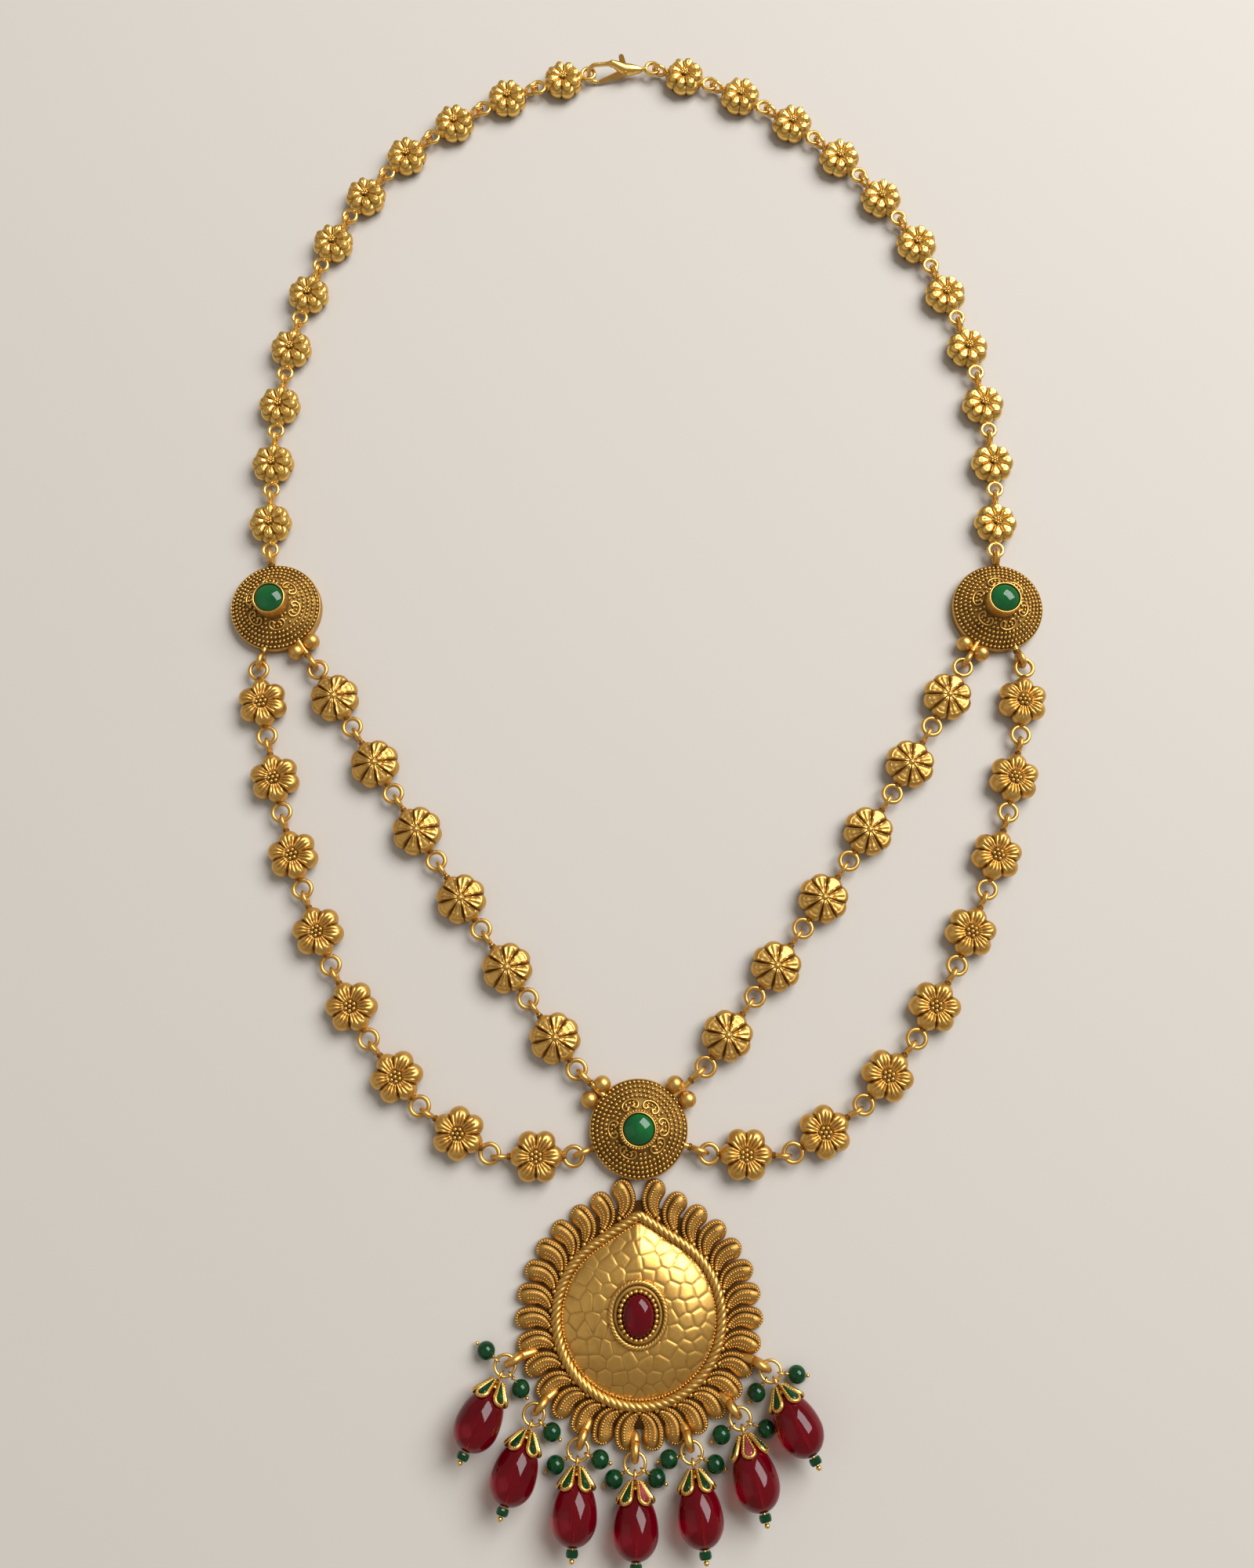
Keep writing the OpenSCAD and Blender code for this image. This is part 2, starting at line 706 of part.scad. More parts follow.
module drop_cap(i) {
  wide_r = leaf_w / 2;
  apart = leaf_l - wide_r;
  color(antique_gold) drop_frame(i) {
    rotate_extrude() polygon([
      [pin_hole_r, cap_top], [cap_collar_r, cap_top], [cap_collar_r, cap_top + 0.4],
      [cap_skirt_r, cap_top + 0.9], [pin_hole_r, cap_top + 0.9]
    ]);
    leaf_frames(i) difference() {
      linear_extrude(leaf_t) polygon(pear(wide_r, leaf_neck_r, apart, leaf_wide_steps, leaf_neck_steps));
      translate([0, 0, leaf_t - leaf_recess])
        linear_extrude(leaf_t) polygon(
          pear(wide_r - stone_rim, leaf_neck_r - stone_rim / 2, apart, leaf_wide_steps, leaf_neck_steps)
        );
    }
  }
}

module drop_bead(i) {
  color(ruby) drop_frame(i) rotate_extrude() polygon(concat(
    [for (k = [1:profile_steps - 1]) let (a = 180 - k * 90 / profile_steps)
      if (bead_r * sin(a) > pin_hole_r) [bead_r * sin(a), bead_fat_at + bead_above * cos(a)]],
    [for (k = [0:profile_steps - 1]) let (a = 90 - k * 90 / profile_steps)
      if (bead_r * sin(a) > pin_hole_r) [bead_r * sin(a), bead_fat_at + bead_below * cos(a)]],
    [[pin_hole_r, bead_fat_at + bead_below], [pin_hole_r, bead_fat_at - bead_above]]
  ));
}

module drop_pin(i) {
  color(bright_gold) drop_frame(i) {
    translate([0, 0, pin_loop_at]) upright_eye(pin_loop_r, pin_r);
    translate([0, 0, pin_loop_at + pin_loop_r]) cylinder(h = tip_at - pin_loop_at - pin_loop_r, r = pin_r);
    translate([0, 0, tip_at]) sphere(tip_r);
  }
}

module drop_rondelle(i) {
  color(emerald) drop_frame(i) translate([0, 0, rondelle_at]) difference() {
    intersection() {
      cylinder(h = rondelle_h, r = rondelle_d / 2);
      translate([0, 0, rondelle_h / 2]) sphere(rondelle_d / 2 + gap);
    }
    translate([0, 0, -gap]) cylinder(h = rondelle_h + 2 * gap, r = pin_hole_r);
  }
}

module leaf_stones() {
  wide_r = leaf_w / 2;
  for (i = [0:len(DROPS) - 1])
    color(emerald) drop_frame(i) leaf_frames(i) translate([leaf_l - wide_r, 0, leaf_t - leaf_recess + gap])
      linear_extrude(stone_h, scale = 0.55) translate([wide_r - leaf_l, 0])
        polygon(pear(wide_r - stone_rim - gap, leaf_neck_r - stone_rim / 2 - gap, leaf_l - wide_r,
                     stone_wide_steps, 1));
}

// Charms: a wire looped on the jump ring, a green bead on it and a ball at its end

module charm_frame(charm) {
  drop = DROPS[charm[0]];
  hook = [drop[0], drop[1]] + toward(charm[1], jump_r);
  hook_z = jump_z + jump_r * sin(jump_tilt) * cos(charm[1] - drop[3]);
  translate([hook[0], hook[1], hook_z]) rotate(charm[1])
    rotate([0, atan2(hook_z - charm_z, charm[2] - jump_r), 0]) children();
}

module charm_wires() {
  color(bright_gold) for (charm = CHARMS) {
    bead_at = charm[2] - jump_r + charm_slack;
    charm_frame(charm) {
      upright_eye(charm_loop_r, charm_wire_r);
      translate([charm_loop_r, 0, 0]) rotate([0, 90, 0])
        cylinder(h = bead_at + charm_r + charm_tip_r - charm_loop_r, r = charm_wire_r);
      translate([bead_at + charm_r + charm_tip_r + gap, 0, 0]) sphere(charm_tip_r);
    }
  }
}

module charm_beads() {
  color(emerald) for (charm = CHARMS)
    charm_frame(charm) translate([charm[2] - jump_r + charm_slack, 0, 0]) rotate([0, 90, 0]) difference() {
      sphere(charm_r);
      translate([0, 0, -charm_bead_d]) cylinder(h = 2 * charm_bead_d, r = charm_wire_r + 1.2 * gap);
    }
}

// Clasp: a claw with a lever on a pin; its own X runs from the nose to the tail, its own Z is the pin

claw_ring_at = strand_start_ring("upper_left", upper_ring_r);
tail_ring_at = strand_start_ring("upper_right", upper_ring_r, false);
clasp_turn = heading(tail_ring_at - claw_ring_at);
clasp_at = claw_ring_at + toward(clasp_turn, nose_hold - nose_at);
tail_ring_x = norm(tail_ring_at - clasp_at);

module clasp_frame() {
  translate([clasp_at[0], clasp_at[1], ring_height]) rotate(clasp_turn) children();
}

module limb(from, from_r, to, to_r) {
  translate([from[0], from[1], 0]) rotate(heading(to - from)) rotate([0, 90, 0])
    cylinder(h = norm(to - from), r1 = from_r, r2 = to_r);
}

module knob(at, r) {
  translate([at[0], at[1], 0]) rotate([0, 90, 0]) sphere(r);
}

module clasp_body() {
  color(bright_gold) clasp_frame() {
    rotate([claw_lean, 0, 0]) {
      translate([nose_at, 0, 0]) {
        rotate(90) rotate_extrude(angle = nose_sweep) translate([claw_nose_r, 0]) circle(claw_wire_r);
        rotate(90 + nose_sweep) translate([claw_nose_r, 0, 0]) sphere(claw_end_r);
      }
      limb([nose_at, claw_nose_r], claw_wire_r, [arm_end[0], claw_nose_r], claw_wire_r);
      difference() {
        union() {
          knob(arm_end, arm_end_r);
          limb(arm_end, arm_end_r * limb_share, belly_at, belly_r * limb_share);
          knob(belly_at, belly_r);
          limb(belly_at, belly_r * limb_share, tail_at, tail_r * limb_share);
          knob(tail_at, tail_r);
        }
        translate([slot_from, -2 * belly_r, -slot_w / 2]) cube([slot_to - slot_from, 4 * belly_r, slot_w]);
      }
      translate([pivot_at[0], pivot_at[1], -belly_r * 0.85]) cylinder(h = belly_r * 1.7, r = pivot_r);
    }
    neck(tail_at[0], tail_ring_x - upper_ring_r);
    translate([tail_ring_x, 0, 0]) lying_ring(upper_ring_r);
  }
}

module lever_plate(tip, tip_r) {
  translate(tip) rotate(heading(pivot_at - tip))
    polygon(pear(gate_root_r, tip_r, norm(pivot_at - tip), lever_steps, lever_steps / 2));
}

module clasp_lever() {
  color(antique_gold) clasp_frame() rotate([claw_lean, 0, 0])
    translate([0, 0, -lever_thickness / 2]) linear_extrude(lever_thickness) difference() {
      union() {
        lever_plate(gate_tip, gate_tip_r);
        lever_plate(thumb_at, thumb_r);
      }
      translate(pivot_at) circle(pivot_r + gap, $fn = lever_steps);
    }
}

clasp_body();
clasp_lever();
upper_chain_left();
upper_chain_right();
side_medallion_left();
side_medallion_right();
side_stone_left();
side_stone_right();
inner_strand_left();
inner_strand_right();
outer_strand_left();
outer_strand_right();
centre_medallion();
centre_stone();
pendant();
pendant_stone();
for (i = [1:7]) drop_ring(i - 1);
for (i = [1:7]) drop_cap(i - 1);
for (i = [1:7]) drop_bead(i - 1);
for (i = [1:7]) drop_pin(i - 1);
for (i = [1:7]) drop_rondelle(i - 1);
charm_beads();
charm_wires();
leaf_stones();
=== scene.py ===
import math

import bpy
import numpy as np
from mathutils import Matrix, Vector


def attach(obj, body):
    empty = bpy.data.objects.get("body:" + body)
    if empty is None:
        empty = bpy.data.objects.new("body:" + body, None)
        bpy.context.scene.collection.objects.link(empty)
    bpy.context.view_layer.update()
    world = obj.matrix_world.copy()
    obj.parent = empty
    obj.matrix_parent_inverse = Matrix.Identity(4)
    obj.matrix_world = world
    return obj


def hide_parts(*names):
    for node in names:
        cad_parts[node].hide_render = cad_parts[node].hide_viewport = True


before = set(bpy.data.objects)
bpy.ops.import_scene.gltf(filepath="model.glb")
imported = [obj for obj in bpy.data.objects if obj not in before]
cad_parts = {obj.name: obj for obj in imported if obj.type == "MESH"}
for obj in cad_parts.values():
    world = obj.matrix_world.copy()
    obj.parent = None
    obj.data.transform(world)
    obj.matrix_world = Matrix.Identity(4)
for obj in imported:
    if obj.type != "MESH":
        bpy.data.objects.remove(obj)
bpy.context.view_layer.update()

bl_info = {
    "name": "Layered Necklace",
    "version": (1, 0, 0),
    "blender": (4, 5, 0),
    "location": "3D View > Sidebar > Necklace",
    "description": "Gold necklace with flower links, three medallions, a teardrop pendant and seven drops",
    "category": "Object",
}

MM = 0.001

# Links, in mm: rings, eyes, wire, necks, play between ring and eye, height of the rings, a flower's lobes
UPPER_RING_R, LOWER_RING_R = 1.5, 1.8
EYE_R, WIRE_R, NECK_R = 1.35, 0.45, 0.5
LINK_PLAY = 0.16
RING_HEIGHT = 2.1
LOBE_R = 2.1

# Where the coiled collars of a lower link start, from its middle
COLLAR_AT = {"inner": 5.1, "outer": 5.2}
COIL_PITCH = 0.3

# Where each strand runs on the table: start, two handles, end, number of links, ring radius,
# whether it has a ring at its start
STRANDS = {
    "upper_chain_left": ((-10.5, 157.2), (-54, 146), (-84.5, 117), (-78.5, 36.5), 11, UPPER_RING_R, True),
    "upper_chain_right": ((4.5, 158.2), (44.5, 149), (83.5, 107.5), (76.5, 36.5), 11, UPPER_RING_R, False),
    "inner_strand_left": ((-67.5, 11.5), (-50, -17), (-31, -45), (-11.5, -72), 6, LOWER_RING_R, True),
    "inner_strand_right": ((68.5, 12), (53, -18), (32, -44.5), (12.5, -71.5), 6, LOWER_RING_R, True),
    "outer_strand_left": ((-79.5, 11.5), (-71, -45), (-44, -98), (-11.5, -87.5), 8, LOWER_RING_R, True),
    "outer_strand_right": ((81, 12), (77.5, -42.5), (42, -99.5), (12.5, -87), 8, LOWER_RING_R, True),
}

# Middle of each medallion and of the pendant's round part, and of the bezel from there
SIDE_LEFT_AT = (-76.6, 24.4)
SIDE_RIGHT_AT = (76.2, 24.4)
CENTRE_AT = (0.0, -82.4)
PENDANT_AT = (0.0, -116.6)
BEZEL_AT = (-0.15, 0.8)
RUBY_HALF = (2.9, 3.8)

# The seven drops: middle of the jump ring, heading of the soldered bar, heading of the drop
DROPS = (
    (-24.9, -124.9, -150, -115.5),
    (-19.4, -133.3, -130, -108.5),
    (-11.2, -139.3, -110, -93),
    (-0.8, -141.6, -91, -89.5),
    (9.6, -139.7, -75, -82.5),
    (18.6, -134.0, -54, -76),
    (24.4, -125.9, -33, -63),
)
# The green beads on the jump rings: drop, heading, reach
CHARMS = (
    (0, 146, 4.4), (0, -55, 5.1), (1, -44, 4.6), (2, -147, 5.0), (2, -24, 4.4), (3, -144, 4.8), (3, -34, 4.8),
    (4, -162, 4.4), (4, -27, 4.9), (5, -140, 4.6), (5, -22, 5.2), (6, -125, 4.7), (6, -8, 5.0),
)
JUMP_R, JUMP_WIRE_R, JUMP_Z, JUMP_TILT = 1.9, 0.3, 2.56, 8
DROP_EYE_R, DROP_BAR_R, DROP_EYE_Z = 1.35, 0.8, 2.3
CHARM_LOOP_R, CHARM_WIRE_R, CHARM_HOLE_R, CHARM_Z = 0.6, 0.18, 0.3, 1.75

# A drop along its own Z: loop of its pin, middle of its bead, rondelle, end of its pin; its lean from upright
PIN_R, PIN_LOOP_R, PIN_LOOP_AT, PIN_HOLE_R = 0.3, 0.76, 1.77, 0.4
BEAD_AT, BEAD_BELOW, BEAD_R = 11.1, 4.6, 4.15
RONDELLE_AT, PIN_END = 15.85, 17.75
DROP_LEAN = 81
LEAF_L, LEAF_W, LEAF_NECK_R = 4.15, 2.7, 0.55

# The one cap with a leaf in the middle; the others have a pair there and none underneath, where they rest
MIDDLE_LEAF_DROP = 5
# Leaf stones that are pink: drop, leaf
PINK_LEAVES = ((3, -0.5), (5, 0))

# Where the photograph was taken from, in mm, with its tilt in degrees and its focal length in pixels
CAMERA_AT = (-2.25, -76.5, 268.0)
CAMERA_TILT = 13.24
CAMERA_FOCAL_PIXELS = 1700
PHOTO_HIGH = 2000
SENSOR_MM = 36.0


# Places and numbers

def shift(x, y, z=0.0):
    """A move, as a 4 by 4 matrix."""
    m = np.eye(4)
    m[:3, 3] = (x, y, z)
    return m


def spin(axis, degrees):
    """A turn about one axis, as a 4 by 4 matrix."""
    a = math.radians(degrees)
    i, j = {"x": (1, 2), "y": (2, 0), "z": (0, 1)}[axis]
    m = np.eye(4)
    m[i, i] = m[j, j] = math.cos(a)
    m[i, j] = -math.sin(a)
    m[j, i] = math.sin(a)
    return m


def toward(degrees, r=1.0):
    return np.array([r * math.cos(math.radians(degrees)), r * math.sin(math.radians(degrees))])


def heading(v):
    return math.degrees(math.atan2(v[1], v[0]))


def smooth(x, low, high):
    """Soft step from 0 at low to 1 at high."""
    t = np.clip((x - low) / (high - low), 0, 1)
    return t * t * (3 - 2 * t)


def bell(x, width):
    """A soft bump of height 1 at 0."""
    return np.exp(-(x / width) ** 2)


def follow(x, table):
    """Reads a value from a table of pairs, on straight lines between its rows."""
    return np.interp(x, *zip(*table))


def round_angles(count):
    return np.arange(count) * 2 * math.pi / count


def distances(line):
    """How far along a line each of its points lies."""
    return np.concatenate([[0], np.cumsum(np.linalg.norm(np.diff(line, axis=0), axis=1))])


def at_distance(s, gone, line):
    """Points of a line at distances along it."""
    return np.stack([np.interp(s, gone, column) for column in line.T], -1)


# Shapes

class Shape:
    """Points in mm with faces, a depth of 0 to 1 at each point for the patina and painted shade, and a finish
    for each face.
    """

    def __init__(self):
        self.points, self.faces, self.deep, self.finish = [], [], [], []
        self.count = 0

    def add(self, points, faces, deep=0.0, place=None, finish=0):
        points = np.asarray(points, float).reshape(-1, 3)
        if place is not None:
            points = points @ place[:3, :3].T + place[:3, 3]
        self.points.append(points)
        self.deep.append(np.broadcast_to(np.asarray(deep, float), len(points)))
        self.count += len(points)
        self.fill(self.count - len(points), [faces], finish)

    def fill(self, base, more, finish=0):
        """Adds lists of faces on the points from base on."""
        for faces in more:
            self.faces.append(faces + base)
            self.finish.append(np.full(len(faces), finish))

    def put(self, other, place):
        """Adds a copy of another shape."""
        base = self.count
        for points, deep in zip(other.points, other.deep):
            self.points.append(points @ place[:3, :3].T + place[:3, 3])
            self.deep.append(deep)
        for faces, finish in zip(other.faces, other.finish):
            self.faces.append(faces + base)
            self.finish.append(finish)
        self.count += other.count

    def piece(self, name, slot, finishes, nodes, body="necklace", crisp=55.0):
        """Makes the object on its body, in place of its CAD nodes. Edges over crisp degrees stay sharp."""
        points = np.concatenate(self.points) * MM
        loops = np.concatenate([f.ravel() for f in self.faces])
        totals = np.concatenate([np.full(len(f), f.shape[1]) for f in self.faces])
        starts = np.concatenate([[0], np.cumsum(totals)[:-1]])
        mesh = bpy.data.meshes.new(name)
        mesh.vertices.add(len(points))
        mesh.vertices.foreach_set("co", points.astype(np.float32).ravel())
        mesh.loops.add(len(loops))
        mesh.loops.foreach_set("vertex_index", loops.astype(np.int32))
        mesh.polygons.add(len(totals))
        mesh.polygons.foreach_set("loop_start", starts.astype(np.int32))
        mesh.polygons.foreach_set("use_smooth", np.ones(len(totals), bool))
        mesh.polygons.foreach_set("material_index", np.concatenate(self.finish).astype(np.int32))
        mesh.update(calc_edges=True)
        mesh.set_sharp_from_angle(angle=math.radians(crisp))
        deep = mesh.attributes.new("deep", "FLOAT", "POINT")
        deep.data.foreach_set("value", np.concatenate(self.deep).astype(np.float32))
        for finish in finishes:
            mesh.materials.append(finish)
        obj = bpy.data.objects.new(name, mesh)
        bpy.context.scene.collection.objects.link(obj)
        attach(obj, body)
        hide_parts(*nodes)
        return obj


def built(build, *values):
    """A new shape that one function builds."""
    shape = Shape()
    build(shape, *values)
    return shape


def grid_faces(rows, columns, closed=True, loop=False):
    """Quads between rows of points. closed joins the last column to the first, and loop the last row."""
    r = np.arange(rows if loop else rows - 1)[:, None]
    c = np.arange(columns if closed else columns - 1)[None, :]
    n, up = (c + 1) % columns, (r + 1) % rows
    return np.stack([r * columns + c, r * columns + n, up * columns + n, up * columns + c], -1).reshape(-1, 4)


def fan(ring, tip, flip=False):
    """Triangles from a ring of points to one tip."""
    after = np.roll(ring, -1)
    tips = np.full(len(ring), tip)
    return np.stack([after, ring, tips] if flip else [ring, after, tips], -1)


def skin(shape, rows, first, last, deep=0.0, place=None):
    """Joins rows of points that run round, and closes the ends with fans to the points first and last."""
    count, n = len(rows), len(rows[0])
    base = shape.count
    shape.add(np.vstack([*rows, first, last]), grid_faces(count, n), deep, place)
    ring = np.arange(n)
    shape.fill(base, [fan(ring, count * n, True), fan(ring + (count - 1) * n, count * n + 1)])


def spun(profile, sides, scale=(1, 1)):
    """Points of rows of radius and height, turned about Z."""
    a = round_angles(sides)
    r, z = profile[:, :1], profile[:, 1:2]
    points = [r * np.cos(a) * scale[0], r * np.sin(a) * scale[1], z + np.zeros(sides)]
    return np.stack(points, -1).reshape(-1, 3)


def turned(shape, profile, sides, place=None, scale=(1, 1)):
    """Turns rows of radius, height and perhaps depth about Z, low to high. A radius of 0 closes an end."""
    profile = np.asarray(profile, float)
    deep = profile[:, 2] if profile.shape[1] > 2 else np.zeros(len(profile))
    body = profile[:, 0] > 0
    points = spun(profile[body], sides, scale)
    depth = np.repeat(deep[body], sides)
    caps = []
    for end, start in ((-1, len(points) - sides), (0, 0)):
        if not body[end]:
            caps.append(fan(np.arange(sides) + start, len(points), flip=end == 0))
            points = np.vstack([points, [0, 0, profile[end, 1]]])
            depth = np.append(depth, deep[end])
    base = shape.count
    shape.add(points, grid_faces(body.sum(), sides), depth, place)
    shape.fill(base, caps)


def closed_turned(shape, profile, sides, place):
    """Turns a closed profile about Z, for a bead with a hole."""
    shape.add(spun(np.array(profile), sides), grid_faces(len(profile), sides, loop=True), 0.0, place)


def ball_profile(r, rings, low=-90.0):
    """Profile of a ball from a low latitude, in degrees, to its top."""
    a = np.radians(np.linspace(low, 90, rings + 1))
    profile = np.stack([r * np.cos(a), r * np.sin(a)], -1)
    profile[-1, 0] = 0
    if low == -90.0:
        profile[0, 0] = 0
    return profile


def ball(shape, at, r, place, rings=8, sides=14):
    turned(shape, ball_profile(r, rings), sides, place @ shift(*at))


def grains(shape, centres, r, place=None, sides=9, rings=4, low=-35.0, deep=0.0):
    """Many small round grains. r is one radius or one for each."""
    centres = np.asarray(centres, float).reshape(-1, 3)
    one = built(turned, ball_profile(1.0, rings, low), sides)
    points = np.concatenate(one.points)
    r = np.broadcast_to(np.asarray(r, float), len(centres))
    spots = (points[None] * r[:, None, None] + centres[:, None]).reshape(-1, 3)
    # Painted shade: the lower half of each grain is darkened
    depth = np.tile(np.where(points[:, 2] < 0.1, 0.9, 0.0) + deep, len(centres))
    base = shape.count
    step = np.arange(len(centres))[:, None, None] * len(points)
    sheets, *caps = [(faces[None] + step).reshape(-1, faces.shape[1]) for faces in one.faces]
    shape.add(spots, sheets, depth, place)
    shape.fill(base, caps)


def tube(shape, path, r, sides=10, closed=False, deep=0.0, place=None, section=None):
    """Sweeps a round wire along a path. r may change; section(row, angle) scales it and adds depth."""
    path = np.asarray(path, float)
    n = len(path)
    run = np.roll(path, -1, 0) - np.roll(path, 1, 0) if closed else np.gradient(path, axis=0)
    run /= np.linalg.norm(run, axis=1, keepdims=True)
    side = np.cross((0.0, 0.0, 1.0), run)
    side /= np.linalg.norm(side, axis=1, keepdims=True)
    over = np.cross(run, side)
    a = round_angles(sides)
    r = np.broadcast_to(np.asarray(r, float), n)[:, None] * np.ones(sides)
    depth = np.full((n, sides), float(deep))
    if section is not None:
        share, low = section(np.arange(n)[:, None], a)
        r = r * share
        depth = np.clip(depth + low, 0, 1)
    out = np.cos(a)[:, None] * side[:, None] + np.sin(a)[:, None] * over[:, None]
    rows = path[:, None] + r[..., None] * out
    if closed:
        shape.add(rows, grid_faces(n, sides, loop=True), depth.ravel(), place)
    else:
        skin(shape, rows, path[0], path[-1], np.append(depth, depth[[0, -1], [0, -1]]), place)


def lying_ring(shape, r, wire, place, steps=28, sides=10, deep=0.0):
    tube(shape, oval(r, r, steps, 0.0), wire, sides, True, deep, place)


def upright_eye(shape, r, wire, place, steps=28, sides=10):
    lying_ring(shape, r, wire, place @ spin("x", 90), steps, sides)


def rod(shape, x_from, x_to, r, place, sides=12):
    tube(shape, [(x_from, 0, 0), (x_to, 0, 0)], r, sides, place=place)


def coil(shape, x_from, turns, wire, r, place, pitch=COIL_PITCH, deep=0.6):
    """A few turns of thin wire round the X axis."""
    for k in range(turns):
        lying_ring(shape, r, wire, place @ shift(x_from + k * pitch, 0) @ spin("y", 90), 18, 6, deep)


def oval(half_w, half_l, steps, z):
    a = round_angles(steps)
    return np.stack([half_w * np.cos(a), half_l * np.sin(a), np.full(steps, z)], -1)


# Colours and finishes

PATINA_AND_SHADE_GROUP = "old_gold_patina"
VEIL_GROUP = "stone_veils"
BUMP_DEPTH = 0.00005


def new_group(name, sockets):
    """A node group with named inputs and outputs."""
    group = bpy.data.node_groups.new(name, "ShaderNodeTree")
    for label, way, kind, value in sockets:
        socket = group.interface.new_socket(name=label, in_out=way, socket_type=kind)
        if value is not None:
            socket.default_value = value
    return group, group.nodes.new("NodeGroupInput"), group.nodes.new("NodeGroupOutput")


def feed(tree, socket, value):
    """Sets a socket to a value, or links it to another node's output."""
    if isinstance(value, (int, float, tuple)):
        socket.default_value = value
    else:
        tree.links.new(value, socket)


def maths(tree, kind, a, b, clamp=False):
    node = tree.nodes.new("ShaderNodeMath")
    node.operation = kind
    node.use_clamp = clamp
    feed(tree, node.inputs[0], a)
    feed(tree, node.inputs[1], b)
    return node.outputs[0]


def noise(tree, scale, detail=3.0, rough=0.55):
    where = tree.nodes.new("ShaderNodeTexCoord")
    node = tree.nodes.new("ShaderNodeTexNoise")
    node.inputs["Detail"].default_value = detail
    node.inputs["Roughness"].default_value = rough
    tree.links.new(where.outputs["Object"], node.inputs["Vector"])
    feed(tree, node.inputs["Scale"], scale)
    return node.outputs["Fac"]


def blend_colour(tree, share, a, b):
    node = tree.nodes.new("ShaderNodeMix")
    node.data_type = "RGBA"
    for socket, value in ((node.inputs[0], share), (node.inputs[6], a), (node.inputs[7], b)):
        feed(tree, socket, value)
    return node.outputs[2]


def make_patina_and_shade_group():
    """Old gold: dark patina and painted shade in the grooves, hollows and undersides, polished tops, cloudy
    tarnish and fine scratches.
    """
    tree, given, out = new_group(PATINA_AND_SHADE_GROUP, (
        ("Polished", "INPUT", "NodeSocketColor", (0.85, 0.62, 0.24, 1)),
        ("Tarnished", "INPUT", "NodeSocketColor", (0.55, 0.34, 0.11, 1)),
        ("Patina", "INPUT", "NodeSocketColor", (0.06, 0.03, 0.012, 1)),
        ("Deep", "INPUT", "NodeSocketFloat", 0.0),
        ("Tarnish", "INPUT", "NodeSocketFloat", 0.4),
        ("Shine", "INPUT", "NodeSocketFloat", 0.22),
        ("Colour", "OUTPUT", "NodeSocketColor", None),
        ("Roughness", "OUTPUT", "NodeSocketFloat", None),
        ("Height", "OUTPUT", "NodeSocketFloat", None),
    ))
    cloud = noise(tree, 420.0, 4.0)
    fine = noise(tree, 2600.0, 2.0, 0.7)
    edge = maths(tree, "MULTIPLY", maths(tree, "SUBTRACT", cloud, 0.5), 0.5)
    # Where the patina and the painted shade darken the gold
    mask = maths(tree, "MULTIPLY", maths(tree, "ADD", given.outputs["Deep"], edge), 1.15, clamp=True)
    spread = maths(tree, "MULTIPLY", cloud, given.outputs["Tarnish"], clamp=True)
    toned = blend_colour(tree, spread, given.outputs["Polished"], given.outputs["Tarnished"])
    dull = maths(tree, "ADD", maths(tree, "MULTIPLY", mask, 0.4), maths(tree, "MULTIPLY", fine, 0.16))
    feed(tree, out.inputs["Colour"], blend_colour(tree, mask, toned, given.outputs["Patina"]))
    feed(tree, out.inputs["Roughness"], maths(tree, "ADD", given.outputs["Shine"], dull))
    feed(tree, out.inputs["Height"], maths(tree, "ADD", fine, maths(tree, "MULTIPLY", cloud, 2.0)))
    return tree


def make_veil_group():
    """Cloud and veils inside a stone."""
    tree, given, out = new_group(VEIL_GROUP, (
        ("Clear", "INPUT", "NodeSocketColor", (0.02, 0.2, 0.1, 1)),
        ("Cloudy", "INPUT", "NodeSocketColor", (0.01, 0.05, 0.03, 1)),
        ("Scale", "INPUT", "NodeSocketFloat", 300.0),
        ("Colour", "OUTPUT", "NodeSocketColor", None),
        ("Roughness", "OUTPUT", "NodeSocketFloat", None),
        ("Height", "OUTPUT", "NodeSocketFloat", None),
    ))
    veil = noise(tree, given.outputs["Scale"], 3.0)
    share = maths(tree, "MULTIPLY", maths(tree, "SUBTRACT", veil, 0.35), 2.6, clamp=True)
    cloudy = blend_colour(tree, share, given.outputs["Clear"], given.outputs["Cloudy"])
    feed(tree, out.inputs["Colour"], cloudy)
    feed(tree, out.inputs["Roughness"], maths(tree, "ADD", maths(tree, "MULTIPLY", veil, 0.06), 0.01))
    feed(tree, out.inputs["Height"], veil)
    return tree


def new_material(name):
    material = bpy.data.materials.new(name)
    material.use_nodes = True
    return material, material.node_tree, material.node_tree.nodes["Principled BSDF"]


def grouped_material(name, group, values, bump, own):
    """A material with colour, roughness and relief from a node group, and constants on the shader itself."""
    material, tree, shader = new_material(name)
    node = tree.nodes.new("ShaderNodeGroup")
    node.node_tree = group
    for label, value in values.items():
        node.inputs[label].default_value = value
    relief = tree.nodes.new("ShaderNodeBump")
    relief.inputs["Strength"].default_value = bump
    relief.inputs["Distance"].default_value = BUMP_DEPTH
    for output, socket in (("Colour", shader.inputs["Base Color"]), ("Roughness", shader.inputs["Roughness"]),
                           ("Height", relief.inputs["Height"])):
        tree.links.new(node.outputs[output], socket)
    tree.links.new(relief.outputs["Normal"], shader.inputs["Normal"])
    for label, value in own.items():
        shader.inputs[label].default_value = value
    return material, tree, node


